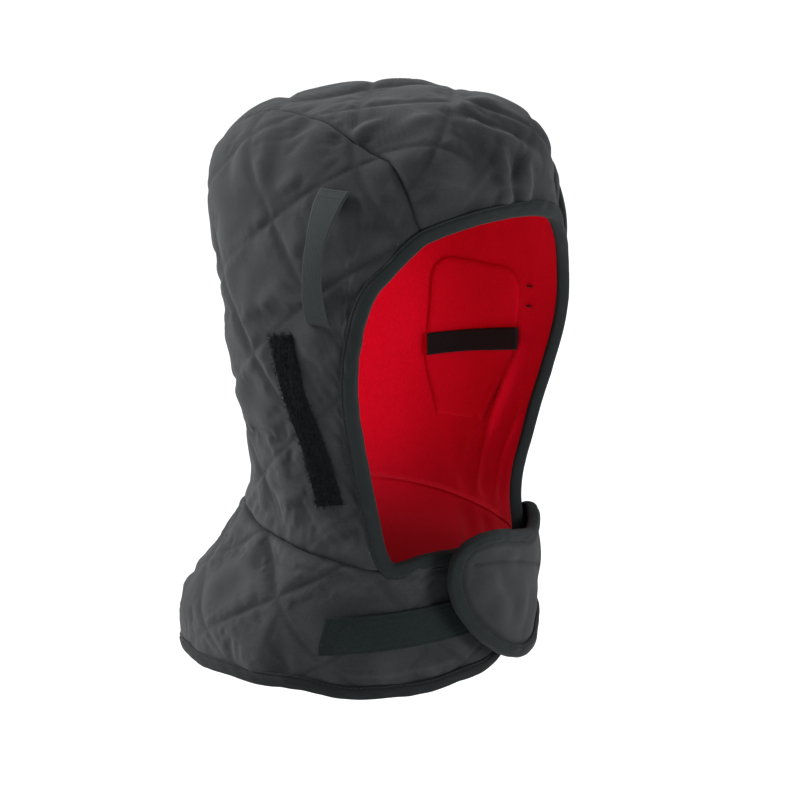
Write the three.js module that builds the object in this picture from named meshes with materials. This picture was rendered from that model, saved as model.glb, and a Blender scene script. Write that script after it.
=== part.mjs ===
// Quilted winter liner for a hard hat: a hood with a neck cape and a chin tab, in the form it has when worn.
// Millimetres. +Z is up, the face looks along -Y, and +X is the wearer's left.
// The origin is the point inside the crown that sits on top of the head.
import * as THREE from "three";

// Cloth thicknesses and the small gaps between plies
const QUILT = 4.5; // outer twill with its wadding, at a stitch line
const EDGE_QUILT = 2.2; // the same, pressed flat under the edge tape
const PUFF = 3; // how far a quilted diamond rises above its stitch lines
const FLEECE = 1.8; // red lining
const PLY_GAP = 1.4; // between the quilted shell and the lining
const SEAM_GAP = 0.4; // between panels sewn edge to edge
const TAPE = 1.6; // hook and loop tape
const TAPE_GAP = 0.5; // under a tape that is sewn on
const STACK = QUILT + PLY_GAP + FLEECE; // the whole wall, and the outer skin's height over the origin

// Folded edge tape
const BIND_WIDTH = 8; // how far the tape reaches in from the edge
const BIND_WALL = 1.1;
const BIND_GAP = 0.6; // outside and at the edge
const BIND_BACK_GAP = 1.5; // behind the lining
const LINING_TRIM = 1.4; // how far the lining stops short of the face edge

// Quilting: two families of stitch lines for each panel. turn is a line's slope in degrees, pitch the space
// between two of them and start the place of one, measured across the lines.
const SIDE_QUILT = [
  { turn: 52, pitch: 58, start: -38.5 },
  { turn: -38, pitch: 52, start: -51.5 },
];
const CROWN_QUILT = [
  { turn: 37, pitch: 46, start: -12 },
  { turn: -37, pitch: 46, start: -10 },
];
const CAPE_QUILT = [
  { turn: 47, pitch: 52, start: -84 },
  { turn: -43, pitch: 52, start: -112 },
];
const CAPE_ARC = 1.7; // millimetres round the cape for a degree
const QUILT_FADE = 14; // the puff dies away this far from a seam or a sewn tape

// Angles round the neck, in degrees from the front towards the wearer's left
const CHIN_CORNER = 41.5; // where the face edge meets the cape
const NAPE_CORNER = 150; // where the crown seam meets the cape
const CAPE_FREE_END = 31; // the right front's end, under the tab
const CAPE_LEFT_END = 40; // under the tab's sewn end
const TAB_END = 58;

// Chin tab: its edges' depths along it, from where it is sewn on to its tip
const TAB_TIP = -22;
const TAB_OUTLINE = [
  { along: 0, top: 252, bottom: 306 },
  { along: 0.06, top: 246, bottom: 310 },
  { along: 0.13, top: 246, bottom: 314 },
  { along: 0.22, top: 251, bottom: 318 },
  { along: 0.32, top: 253, bottom: 320 },
  { along: 0.43, top: 250.5, bottom: 321 },
  { along: 0.55, top: 247, bottom: 320.5 },
  { along: 0.69, top: 242, bottom: 315 },
  { along: 0.83, top: 239.5, bottom: 301 },
  { along: 0.92, top: 241.5, bottom: 287 },
  { along: 0.97, top: 248.5, bottom: 275 },
  { along: 1, top: 257, bottom: 266 },
];
const TAB_WALL = 4;
const TAB_GAP = 0.8; // under the sewn end
const TAB_LENGTH = 116; // along the cape, from the sewn end to the tip
const TAB_OVERLAP = 4.6; // how far the tab steps out to pass over the right front
const TAB_LIFT = 9; // how much further the tip stands off

// Tapes on a side panel, by the Y and depth of their ends
const MASK_STRIP = { y: -13, depth: 127, toY: -32, toDepth: 225, width: 17 };
const HELMET_LOOP = { y: -42, depth: 43, toY: -40, toDepth: 118, width: 14 };
const LOOP_WALL = 1.5;
const LOOP_GAP = 0.8; // under the sewn ends
const LOOP_LIFT = 11.5;

// Ear pockets inside the side panels, and the tape across each
const EAR_POCKET = { y: 4, depth: 113, toY: 4, toDepth: 204, width: 68 };
const POCKET_STRIP = { y: -32, depth: 154, toY: 37, toDepth: 166, width: 13.5 };
const POCKET_WALL = 1.4;
const POCKET_GAP = 1;

// Tape on the cape's right front, by angle and depth
const CHIN_STRIP = { from: -60, to: 3, depth: 299, toDepth: 290, width: 22 };

// Facets along each panel
const SIDE_ACROSS = 16;
const SIDE_DOWN = 18;
const CROWN_ACROSS = 8;
const CAPE_ROUND = 46;
const CAPE_DOWN = 7;
const LINING = { across: 10, down: 12, crown: 5, round: 30, drop: 7 };

// The outer skin's level sections, by depth below the top of the crown.
// half is the half width, mid the Y of the widest place, front and back the Y of the ends.
// square and backSquare are the roundness of the front and back halves: 2 is an ellipse, and more is boxier.
const FORM = [
  { depth: 0, half: 0, mid: 6, front: 6, back: 6, square: 2.2, backSquare: 2.2 },
  { depth: 2, half: 34, mid: 4, front: -48, back: 36, square: 2.9, backSquare: 2.2 },
  { depth: 8, half: 56, mid: 3, front: -69, back: 59, square: 3.1, backSquare: 2.3 },
  { depth: 20, half: 72, mid: 2, front: -85, back: 82, square: 3.1, backSquare: 2.3 },
  { depth: 40, half: 83, mid: 0, front: -94, back: 100, square: 2.6, backSquare: 2.3 },
  { depth: 62, half: 88, mid: 0, front: -97, back: 104, square: 2.45, backSquare: 2.25 },
  { depth: 100, half: 92, mid: 0, front: -98, back: 93, square: 2.55, backSquare: 2.1 },
  { depth: 135, half: 92, mid: -2, front: -97, back: 83, square: 2.6, backSquare: 2.05 },
  { depth: 165, half: 88, mid: -3, front: -94, back: 77, square: 2.5, backSquare: 2.05 },
  { depth: 195, half: 80, mid: -4, front: -90, back: 76, square: 2.4, backSquare: 2.05 },
  { depth: 225, half: 76.5, mid: -4, front: -84, back: 77, square: 2.3, backSquare: 2.05 },
  { depth: 243, half: 77, mid: -3, front: -80, back: 84, square: 2.15, backSquare: 2.1 },
  { depth: 262, half: 82, mid: 0, front: -78, back: 95, square: 2.08, backSquare: 2.2 },
  { depth: 282, half: 91, mid: 8, front: -78, back: 110, square: 2.03, backSquare: 2.2 },
  { depth: 303, half: 98, mid: 15, front: -79, back: 126, square: 2, backSquare: 2.2 },
  { depth: 320, half: 98, mid: 16, front: -79, back: 126, square: 2, backSquare: 2.2 },
  { depth: 340, half: 96, mid: 16, front: -77, back: 123, square: 2, backSquare: 2.2 },
];

// Places where the worn cloth has slumped, by a point of the skin, how far round it and how deep.
// A sink below 0 stands out.
const SLUMPS = [
  { x: -56, y: -48, depth: 22, reach: 46, sink: 13 },
  { x: -24, y: 22, depth: 4, reach: 50, sink: 6.5 },
  { x: 66, y: -60, depth: 305, reach: 46, sink: 6.5 },
  { x: 84, y: -65, depth: 125, reach: 70, sink: -5 },
  { x: 60, y: -57, depth: 226, reach: 34, sink: 4 },
];

// The seam between the crown panel and a side panel, from the forehead to the nape
const CROWN_SEAM = [
  { x: 54, y: -87, depth: 69 },
  { x: 57, y: -62, depth: 33 },
  { x: 57, y: -30, depth: 18 },
  { x: 54, y: 5, depth: 11 },
  { x: 49, y: 45, depth: 10 },
  { x: 47, y: 74, depth: 26 },
  { x: 46, y: 92, depth: 62 },
  { x: 45, y: 86, depth: 115 },
  { x: 42, y: 74, depth: 175 },
];

// The edge of the face opening, from the crown seam down the cheek to the chin
const FACE_EDGE = [
  { x: 54, y: -87, depth: 69 },
  { x: 67, y: -79, depth: 83 },
  { x: 78, y: -68, depth: 102 },
  { x: 84, y: -62.5, depth: 131 },
  { x: 83, y: -59, depth: 161 },
  { x: 75, y: -56.5, depth: 193 },
  { x: 64, y: -55.5, depth: 224 },
  { x: 57, y: -57, depth: 250 },
];
const FOREHEAD_DEPTH = 61;

// The seam between hood and cape by angle from the front, and the hem by angle towards the wearer's left
const NECK_LINE = [
  { angle: 0, depth: 255 },
  { angle: 25, depth: 255 },
  { angle: 34, depth: 257.5 },
  { angle: CHIN_CORNER, depth: 260 },
  { angle: 52, depth: 260 },
  { angle: 65, depth: 257.5 },
  { angle: 90, depth: 252 },
  { angle: 135, depth: 243 },
  { angle: 180, depth: 240 },
];
const HEM_LINE = [
  { angle: -320, depth: 320 },
  { angle: -290, depth: 328 },
  { angle: -250, depth: 333 },
  { angle: -180, depth: 333 },
  { angle: -90, depth: 330 },
  { angle: -60, depth: 331.5 },
  { angle: -40, depth: 334 },
  { angle: -27, depth: 333 },
  { angle: -12, depth: 330 },
  { angle: 0, depth: 326.5 },
  { angle: 8, depth: 321 },
  { angle: 18, depth: 312 },
  { angle: 31, depth: 300 },
];

const HEAD_CENTRE = new THREE.Vector3(0, -4, STACK - 125);
const radians = THREE.MathUtils.degToRad;

// A smooth curve through the rows of a table. Steps are measured by the key, or by a function of it.
function smooth(rows, key, stretch = (t) => t) {
  const t = rows.map((row) => stretch(row[key]));
  const slope = (i, column) => {
    const a = Math.max(i - 1, 0);
    const b = Math.min(i + 1, rows.length - 1);
    return (rows[b][column] - rows[a][column]) / (t[b] - t[a]);
  };
  return (at, column) => {
    const s = THREE.MathUtils.clamp(stretch(at), t[0], t[t.length - 1]);
    let i = 0;
    while (i < rows.length - 2 && s > t[i + 1]) i++;
    const span = t[i + 1] - t[i];
    const f = (s - t[i]) / span;
    const start = rows[i][column] * (1 + 2 * f) * (1 - f) ** 2 + slope(i, column) * span * f * (1 - f) ** 2;
    const end = rows[i + 1][column] * f * f * (3 - 2 * f) - slope(i + 1, column) * span * f * f * (1 - f);
    return start + end;
  };
}

// The square root of the depth closes the crown roundly at its top.
const section = smooth(FORM, "depth", Math.sqrt);
const neckLine = smooth(NECK_LINE, "angle");
const fromFront = (angle) => Math.abs(THREE.MathUtils.euclideanModulo(angle + 180, 360) - 180);
const neckDepth = (angle) => neckLine(fromFront(angle), "depth");
const hemLine = smooth(HEM_LINE, "angle");
const hemDepth = (angle) => hemLine(angle, "depth");

// The sizes of a section's front or back half.
function halfSection(depth, front) {
  const mid = section(depth, "mid");
  return {
    mid,
    half: section(depth, "half"),
    reach: front ? mid - section(depth, "front") : section(depth, "back") - mid,
    square: section(depth, front ? "square" : "backSquare"),
  };
}

// How full the form is at a point: 1 on its skin, less inside.
function fill(p) {
  const depth = STACK - p.z;
  if (depth <= 0) return 2;
  const { mid, reach, square, half } = halfSection(depth, p.y < section(depth, "mid"));
  return (Math.abs(p.x) / half) ** square + (Math.abs(p.y - mid) / reach) ** square;
}

// The outward direction of the skin at a point on it.
function outward(p) {
  const step = 0.2;
  const slope = (axis) => {
    const a = p.clone();
    const b = p.clone();
    a[axis] += step;
    b[axis] -= step;
    return fill(a) - fill(b);
  };
  return new THREE.Vector3(slope("x"), slope("y"), slope("z")).normalize();
}

// The first point of the hood's skin in the direction of a target, seen from the middle of the head.
function onHood(target) {
  const ray = target.clone().sub(HEAD_CENTRE).normalize();
  const full = (reach) => fill(HEAD_CENTRE.clone().addScaledVector(ray, reach)) >= 1;
  let near = 20;
  while (!full(near + 2)) near += 2;
  let far = near + 2;
  for (let i = 0; i < 34; i++) {
    const reach = (near + far) / 2;
    if (full(reach)) far = reach;
    else near = reach;
  }
  return HEAD_CENTRE.clone().addScaledVector(ray, near);
}

// The point of the skin on one side of the hood, by its Y and depth.
function onSide(side, y, depth) {
  const { mid, reach, square, half } = halfSection(depth, y < section(depth, "mid"));
  const x = half * (1 - (Math.abs(y - mid) / reach) ** square) ** (1 / square);
  return new THREE.Vector3(side * x, y, STACK - depth);
}

// The point of the skin at an angle round the neck and a depth.
function onRing(angle, depth) {
  const across = Math.sin(radians(angle));
  const ahead = -Math.cos(radians(angle));
  const { mid, reach, square, half } = halfSection(depth, ahead < 0);
  const size = ((Math.abs(across) / half) ** square + (Math.abs(ahead) / reach) ** square) ** (1 / square);
  return new THREE.Vector3(across / size, mid + ahead / size, STACK - depth);
}

// A point of a table on one side of the hood: side is 1 on the wearer's left and -1 on the right.
const tablePoint = (row, side) => new THREE.Vector3(side * row.x, row.y, STACK - row.depth);

// Evenly spaced points of the hood's skin along a smooth line through some targets.
function traced(targets, steps) {
  const line = new THREE.CatmullRomCurve3(targets.map(onHood), false, "centripetal");
  return line.getSpacedPoints(steps).map(onHood);
}

// The four edges of the hood's panels.
function hoodLines(side, across, down) {
  const corner = onRing(side * NAPE_CORNER, neckDepth(NAPE_CORNER));
  const chin = onRing(side * CHIN_CORNER, neckDepth(CHIN_CORNER));
  const neck = [];
  for (let i = 0; i <= across; i++) {
    const angle = THREE.MathUtils.lerp(CHIN_CORNER, NAPE_CORNER, i / across);
    neck.push(onRing(side * angle, neckDepth(angle)));
  }
  const seam = traced([...CROWN_SEAM.map((row) => tablePoint(row, side)), corner], across + down);
  const face = traced([...FACE_EDGE.map((row) => tablePoint(row, side)), chin], down);
  return { top: seam.slice(0, across + 1), back: seam.slice(across), bottom: neck, front: face, seam };
}

// A patch of the hood's skin between four lines that share their corners.
function patchBetween(top, bottom, left, right) {
  const rows = left.length - 1;
  const columns = top.length - 1;
  const mix = (a, b, t) => a.clone().lerp(b, t);
  return left.map((_, j) => {
    const v = j / rows;
    return top.map((__, i) => {
      const u = i / columns;
      const corners = mix(mix(top[0], top[columns], u), mix(bottom[0], bottom[columns], u), v);
      const point = mix(top[i], bottom[i], v).add(mix(left[j], right[j], u)).sub(corners);
      return onHood(point);
    });
  });
}

function sidePatch(side, across, down) {
  const lines = hoodLines(side, across, down);
  return patchBetween(lines.top, lines.bottom, lines.front, lines.back);
}

function crownPatch(crown, across, down) {
  const right = hoodLines(-1, across, down).seam;
  const left = hoodLines(1, across, down).seam;
  const brow = new THREE.Vector3(0, -97, STACK - FOREHEAD_DEPTH);
  const front = traced([right[0], brow, left[0]], crown);
  const nape = front.map((_, i) => {
    const angle = THREE.MathUtils.lerp(-NAPE_CORNER, NAPE_CORNER - 360, i / crown);
    return onRing(angle, neckDepth(angle));
  });
  return patchBetween(front, nape, right, left);
}

function capePatch(round, drop, from = CAPE_FREE_END, to = CAPE_LEFT_END - 360) {
  const rows = [];
  for (let j = 0; j <= drop; j++) {
    const row = [];
    for (let i = 0; i <= round; i++) {
      const angle = THREE.MathUtils.lerp(from, to, i / round);
      row.push(onRing(angle, THREE.MathUtils.lerp(neckDepth(angle), hemDepth(angle), j / drop)));
    }
    rows.push(row);
  }
  return rows;
}

// Pulls the rim of a patch in along the cloth, to leave half a seam gap.
function pulledIn(patch, distance = SEAM_GAP / 2) {
  const rows = patch.length - 1;
  const columns = patch[0].length - 1;
  const inner = (k, last) => (k === 0 ? 1 : k === last ? last - 1 : k);
  return patch.map((row, j) =>
    row.map((point, i) => {
      const moved = point.clone();
      for (const next of [patch[inner(j, rows)][i], row[inner(i, columns)]]) {
        if (next === point) continue;
        moved.addScaledVector(next.clone().sub(point).normalize(), distance);
      }
      return moved;
    }),
  );
}

// How far the skin has slumped inwards at a point.
function slump(p) {
  return SLUMPS.reduce((sum, row) => {
    const reach = Math.hypot(p.x - row.x, p.y - row.y, p.z - STACK + row.depth) / row.reach;
    return sum + row.sink * Math.exp(-2.5 * reach * reach);
  }, 0);
}

// Trims the first row or column of a lining patch, so that the folded tape clears it.
const trim = (p, next) => p.clone().add(next.clone().sub(p).setLength(LINING_TRIM));
const trimmedFront = (patch) => patch.map((row) => [trim(row[0], row[1]), ...row.slice(1)]);
const trimmedBrow = (patch) => [patch[0].map((p, i) => trim(p, patch[1][i])), ...patch.slice(1)];

// A patch as cloth: each point with its outward direction, the height of the outer face over the skin and the
// depth of the inner face under it. Either can be a size, or a function of the point and its place.
function cloth(patch, rise, sink) {
  const sized = (size, ...place) => (typeof size === "function" ? size(...place) : size);
  return patch.map((row, j) =>
    row.map((p, i) => {
      const place = [p, i / (row.length - 1), j / (patch.length - 1)];
      const sag = slump(p);
      return { p, n: outward(p), rise: sized(rise, ...place) - sag, sink: sized(sink, ...place) + sag };
    }),
  );
}

// A closed wall of cloth over one or more patches. Patches that share an edge become one piece.
function wall(...patches) {
  const index = new Map();
  const corners = [];
  const triangles = [];
  const number = (corner) => {
    const name = [corner.p.x, corner.p.y, corner.p.z].map((c) => Math.round(c * 500)).join();
    if (!index.has(name)) {
      index.set(name, corners.length);
      corners.push(corner);
    }
    return index.get(name);
  };
  for (const patch of patches) {
    for (let j = 0; j < patch.length - 1; j++) {
      for (let i = 0; i < patch[j].length - 1; i++) {
        const quad = [patch[j][i], patch[j][i + 1], patch[j + 1][i + 1], patch[j + 1][i]];
        const [across, along] = [quad[2].p.clone().sub(quad[0].p), quad[3].p.clone().sub(quad[1].p)];
        const facing = across.cross(along).dot(quad[0].n);
        const [a, b, c, d] = (facing > 0 ? quad : quad.reverse()).map(number);
        triangles.push([a, b, c], [a, c, d]);
      }
    }
  }
  const count = corners.length;
  const faces = [];
  const rim = new Map();
  for (const [a, b, c] of triangles) {
    faces.push(a, b, c, a + count, c + count, b + count);
    for (const [s, e] of [[a, b], [b, c], [c, a]]) {
      if (!rim.delete(e + "," + s)) rim.set(s + "," + e, [s, e]);
    }
  }
  for (const [s, e] of rim.values()) faces.push(s, s + count, e + count, s, e + count, e);
  const outer = corners.map(({ p, n, rise }) => p.clone().addScaledVector(n, rise));
  const inner = corners.map(({ p, n, sink }) => p.clone().addScaledVector(n, -sink));
  return solid([...outer, ...inner], faces);
}

// A closed mesh from points and triangles, turned so that its faces point out.
function solid(points, faces) {
  let volume = 0;
  for (let i = 0; i < faces.length; i += 3) {
    const [a, b, c] = [points[faces[i]], points[faces[i + 1]], points[faces[i + 2]]];
    volume += a.dot(b.clone().cross(c));
  }
  const order = volume < 0 ? faces.slice().reverse() : faces;
  const geometry = new THREE.BufferGeometry().setFromPoints(points);
  geometry.setIndex(order);
  geometry.computeVertexNormals();
  return geometry;
}

// A solid through rings of the same number of points, closed at both ends.
function lofted(rings) {
  const size = rings[0].length;
  const faces = [];
  for (let k = 0; k < rings.length - 1; k++) {
    for (let i = 0; i < size; i++) {
      const a = k * size + i;
      const b = k * size + ((i + 1) % size);
      faces.push(a, b, b + size, a, b + size, a + size);
    }
  }
  const last = (rings.length - 1) * size;
  const shape = THREE.ShapeUtils.triangulateShape(sectionPlan(rings[0]), []);
  for (const [a, b, c] of shape) faces.push(a, c, b);
  const endShape = THREE.ShapeUtils.triangulateShape(sectionPlan(rings[rings.length - 1]), []);
  for (const [a, b, c] of endShape) faces.push(last + a, last + b, last + c);
  return solid(rings.flat(), faces);
}

// A ring's points in its own plane, counter-clockwise as the ring runs.
function sectionPlan(ring) {
  const across = ring[1].clone().sub(ring[0]).normalize();
  const normal = new THREE.Vector3();
  ring.forEach((point, i) => {
    const next = ring[(i + 1) % ring.length];
    normal.add(point.clone().sub(ring[0]).cross(next.clone().sub(ring[0])));
  });
  const up = normal.normalize().cross(across);
  return ring.map((point) => {
    const arm = point.clone().sub(ring[0]);
    return new THREE.Vector2(arm.dot(across), arm.dot(up));
  });
}

// Quilting

// 0 on a stitch line and 1 in the middle of a diamond, at a place on the flat cloth.
function diamond(along, up, quilting) {
  const heights = quilting.map(({ turn, pitch, start }) => {
    const across = up * Math.cos(radians(turn)) - along * Math.sin(radians(turn)) - start;
    return Math.abs(Math.sin((Math.PI * across) / pitch));
  });
  return Math.sqrt(Math.min(...heights));
}

// 0 within a distance of the rim of a patch, and 1 well inside it.
function awayFromRim(u, v, width, height) {
  const inset = Math.min(u * width, (1 - u) * width, v * height, (1 - v) * height);
  return THREE.MathUtils.smoothstep(inset, 0, QUILT_FADE);
}

// 0 under a tape that runs between two places, and 1 away from it.
function awayFromTape(along, up, tape) {
  const place = new THREE.Vector2(along, up);
  const start = new THREE.Vector2(tape.y, tape.depth);
  const run = new THREE.Vector2(tape.toY, tape.toDepth).sub(start);
  const t = THREE.MathUtils.clamp(place.clone().sub(start).dot(run) / run.lengthSq(), 0, 1);
  const gap = place.distanceTo(start.addScaledVector(run, t)) - tape.width / 2;
  return THREE.MathUtils.smoothstep(gap, 3, QUILT_FADE);
}

// The padding is pressed flat towards the bound edges of the face and the hem.
const boundEdge = [];
for (const side of [-1, 1]) boundEdge.push(...hoodLines(side, 40, 60).front);
for (let angle = CAPE_LEFT_END - 360; angle < CAPE_FREE_END; angle += 3) {
  boundEdge.push(onRing(angle, hemDepth(angle)));
  if (Math.abs(angle) < CHIN_CORNER) boundEdge.push(onRing(angle, neckDepth(angle)));
}
boundEdge.push(...crownPatch(30, 4, 4)[0]);

const edgeGap = (p) => Math.sqrt(Math.min(...boundEdge.map((q) => q.distanceToSquared(p))));
function awayFromEdge(p) {
  const pressed = BIND_WIDTH + 4;
  return THREE.MathUtils.smoothstep(edgeGap(p), pressed, pressed + QUILT_FADE);
}
function padding(p) {
  return THREE.MathUtils.lerp(EDGE_QUILT, QUILT, THREE.MathUtils.smoothstep(edgeGap(p), 22, 40));
}
const liningTop = (p) => -padding(p) - PLY_GAP;
const liningFoot = (p) => padding(p) + PLY_GAP + FLEECE;

// The puff of each panel's quilting, at a point and its place across and along the patch
function sidePuff(p, u, v) {
  const depth = STACK - p.z;
  const tapes = awayFromTape(p.y, depth, MASK_STRIP) * awayFromTape(p.y, depth, HELMET_LOOP);
  return PUFF * diamond(p.y, -depth, SIDE_QUILT) * awayFromRim(u, v, 150, 200) * tapes * awayFromEdge(p);
}

function crownPuff(p, u, v) {
  return PUFF * diamond(p.x, -400 * v, CROWN_QUILT) * awayFromRim(u, v, 104, 400) * awayFromEdge(p);
}

function capePuff(p, u, v) {
  const angle = THREE.MathUtils.lerp(CAPE_FREE_END, CAPE_LEFT_END - 360, u);
  const depth = STACK - p.z;
  const along = CAPE_ARC * angle;
  const ends = { y: CAPE_ARC * (CHIN_STRIP.from - 5), toY: CAPE_ARC * (CHIN_STRIP.to + 10) };
  const strip = awayFromTape(along, depth, { ...CHIN_STRIP, ...ends, width: CHIN_STRIP.width + 8 });
  const tabEnd = CAPE_ARC * (TAB_END - 10 - 360);
  const tab = awayFromTape(along, depth, { y: tabEnd, toY: tabEnd, depth: 260, toDepth: 330, width: 60 });
  const tapes = strip * tab * awayFromEdge(p);
  return PUFF * diamond(along, -depth, CAPE_QUILT) * awayFromRim(u, v, 580, 85) * tapes;
}

// Edge tape folded over the rim of the cloth. Each station has a point on the edge and one further in.
function binding(stations, thickness) {
  const rings = stations.map(({ edge, inner, normal, innerNormal }) => {
    const out = edge.clone().sub(inner).normalize();
    const back = thickness(edge);
    const innerBack = thickness(inner);
    const corner = (reach, height) =>
      edge.clone().addScaledVector(out, reach).addScaledVector(normal, height);
    const leg = (height) => inner.clone().addScaledVector(innerNormal, height);
    const skin = BIND_GAP + BIND_WALL;
    return [
      leg(skin),
      corner(BIND_GAP, skin),
      corner(skin + 0.8, -back / 2),
      corner(BIND_GAP, -back - BIND_BACK_GAP - BIND_WALL),
      leg(-innerBack - BIND_BACK_GAP - BIND_WALL),
      leg(-innerBack - BIND_BACK_GAP),
      corner(BIND_GAP, -back - BIND_BACK_GAP),
      corner(BIND_GAP, BIND_GAP),
      leg(BIND_GAP),
    ];
  });
  return lofted(rings);
}

// A station of edge tape on the skin, let down where the cloth has slumped.
function station(edge, inner) {
  const [normal, innerNormal] = [outward(edge), outward(inner)];
  return {
    edge: edge.clone().addScaledVector(normal, -slump(edge)),
    inner: inner.clone().addScaledVector(innerNormal, -slump(inner)),
    normal,
    innerNormal,
  };
}

// Stations along an edge of the hood's skin.
function hoodStations(edges) {
  return edges.map((edge, i) => {
    const ahead = edges[Math.min(i + 1, edges.length - 1)].clone().sub(edges[Math.max(i - 1, 0)]);
    const inward = outward(edge).cross(ahead).setLength(BIND_WIDTH);
    return station(edge, onHood(edge.clone().add(inward)));
  });
}

function ringStations(from, to, steps, depthAt, step) {
  const stations = [];
  for (let i = 0; i <= steps; i++) {
    const angle = THREE.MathUtils.lerp(from, to, i / steps);
    stations.push(station(onRing(angle, depthAt(angle)), onRing(angle, depthAt(angle) + step)));
  }
  return stations;
}

// A patch for a tape or a pocket on one side of the hood.
function tapePatch(tape, side, lengthSteps, widthSteps) {
  const run = new THREE.Vector2(tape.toY - tape.y, tape.toDepth - tape.depth);
  const across = new THREE.Vector2(-run.y, run.x).normalize().multiplyScalar(tape.width);
  const rows = [];
  for (let j = 0; j <= lengthSteps; j++) {
    const row = [];
    for (let i = 0; i <= widthSteps; i++) {
      const y = tape.y + (run.x * j) / lengthSteps + across.x * (i / widthSteps - 0.5);
      const depth = tape.depth + (run.y * j) / lengthSteps + across.y * (i / widthSteps - 0.5);
      row.push(onSide(side, y, depth));
    }
    rows.push(row);
  }
  return rows;
}

// Webbing sewn down at both ends and standing off the panel between them.
function helmetLoop(side) {
  const steps = 14;
  const lines = tapePatch(HELMET_LOOP, side, steps, 1);
  const rings = lines.map(([a, b], j) => {
    let lift = LOOP_GAP + LOOP_LIFT * Math.sin((Math.PI * j) / steps) ** 0.8;
    const middle = a.clone().lerp(b, 0.5);
    const normal = outward(middle);
    lift -= slump(middle);
    return [a, b, b, a].map((p, i) => p.clone().addScaledVector(normal, lift + (i > 1 ? LOOP_WALL : 0)));
  });
  return lofted(rings);
}

// The chin tab's skin at a place along it, from its sewn end to its tip, and a depth.
const tabOutline = smooth(TAB_OUTLINE, "along");
function tabSkin(along, depth) {
  const p = onRing(THREE.MathUtils.lerp(TAB_END, TAB_TIP, along), depth);
  const n = outward(p);
  const sewn = TAB_WALL + TAB_GAP;
  const over = TAB_OVERLAP * THREE.MathUtils.smoothstep(along, 0, 0.13);
  const lift = TAB_LIFT * THREE.MathUtils.smoothstep(along, 0.4, 1);
  return { p: p.addScaledVector(n, sewn + over + lift - slump(p)), n };
}
function tabDepth(along, down) {
  return THREE.MathUtils.lerp(tabOutline(along, "top"), tabOutline(along, "bottom"), down);
}

function tabPatch(alongSteps, downSteps, rise, sink, box) {
  const rows = [];
  for (let j = 0; j <= downSteps; j++) {
    const down = THREE.MathUtils.lerp(box.top, box.bottom, j / downSteps);
    const row = [];
    for (let i = 0; i <= alongSteps; i++) {
      const along = THREE.MathUtils.lerp(box.from, box.to, Math.sin((Math.PI / 2) * (i / alongSteps)));
      row.push({ ...tabSkin(along, tabDepth(along, down)), rise, sink });
    }
    rows.push(row);
  }
  return rows;
}

// A station of the tab's edge tape: a point on the outline, and one further in towards the tab's middle line.
function tabStation(along, down) {
  const depth = tabDepth(along, down);
  const middle = Math.min(along, 0.8);
  const arm = new THREE.Vector2((middle - along) * TAB_LENGTH, tabDepth(middle, 0.5) - depth);
  arm.setLength(BIND_WIDTH - 1);
  const edge = tabSkin(along, depth);
  const inner = tabSkin(along + arm.x / TAB_LENGTH, depth + arm.y);
  return { edge: edge.p, inner: inner.p, normal: edge.n, innerNormal: inner.n };
}

// Materials
const twill = new THREE.MeshStandardMaterial({ name: "twill", color: 0x2d3134, roughness: 0.9 });
const fleece = new THREE.MeshStandardMaterial({ name: "fleece", color: 0xb00718, roughness: 1 });
const edging = new THREE.MeshStandardMaterial({ name: "edging", color: 0x2b3435, roughness: 0.85 });
const webbing = new THREE.MeshStandardMaterial({ name: "webbing", color: 0x1e2224, roughness: 0.8 });
const looptape = new THREE.MeshStandardMaterial({ name: "looptape", color: 0x15191b, roughness: 0.95 });

function piece(parent, name, geometry, material) {
  const mesh = new THREE.Mesh(geometry, material);
  mesh.name = name;
  parent.add(mesh);
}

const liner = new THREE.Group();
liner.name = "hard_hat_winter_liner";
const [hood, neck, closure] = ["hood", "neck", "closure"].map((name) => {
  const part = new THREE.Group();
  part.name = name;
  liner.add(part);
  return part;
});

const crown = crownPatch(CROWN_ACROSS, SIDE_ACROSS, SIDE_DOWN);
piece(hood, "crown_panel", wall(cloth(pulledIn(crown), crownPuff, padding)), twill);

const liningPatches = [trimmedBrow(crownPatch(LINING.crown, LINING.across, LINING.down))];
for (const side of [-1, 1]) {
  const name = side < 0 ? "right" : "left";
  const panel = pulledIn(sidePatch(side, SIDE_ACROSS, SIDE_DOWN));
  piece(hood, "side_panel_" + name, wall(cloth(panel, sidePuff, padding)), twill);
  liningPatches.push(trimmedFront(sidePatch(side, LINING.across, LINING.down)));

  const strip = tapePatch(MASK_STRIP, side, 10, 2);
  piece(hood, "mask_strip_" + name, wall(cloth(strip, TAPE_GAP + TAPE, -TAPE_GAP)), looptape);
  piece(hood, "helmet_loop_" + name, helmetLoop(side), webbing);

  const pocketTop = STACK + POCKET_GAP;
  const pocket = tapePatch(EAR_POCKET, side, 8, 6);
  piece(hood, "ear_pocket_" + name, wall(cloth(pocket, -pocketTop, pocketTop + POCKET_WALL)), fleece);
  const stripTop = pocketTop + POCKET_WALL + POCKET_GAP;
  const pocketStrip = tapePatch(POCKET_STRIP, side, 8, 1);
  piece(hood, "pocket_strip_" + name, wall(cloth(pocketStrip, -stripTop, stripTop + TAPE)), looptape);
}
const liningCloth = liningPatches.map((patch) => cloth(patch, liningTop, liningFoot));
piece(hood, "hood_lining", wall(...liningCloth), fleece);

const cheeks = [-1, 1].map((side) => hoodLines(side, SIDE_ACROSS, SIDE_DOWN).front);
const faceEdge = [...cheeks[0].slice(1, -1).reverse(), ...crown[0], ...cheeks[1].slice(1)];
const chinEdge = ringStations(CAPE_FREE_END, -CHIN_CORNER + 1, 8, neckDepth, BIND_WIDTH);
const faceStations = [...chinEdge, ...hoodStations(faceEdge)];
piece(hood, "face_binding", binding(faceStations, liningFoot), edging);

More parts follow.
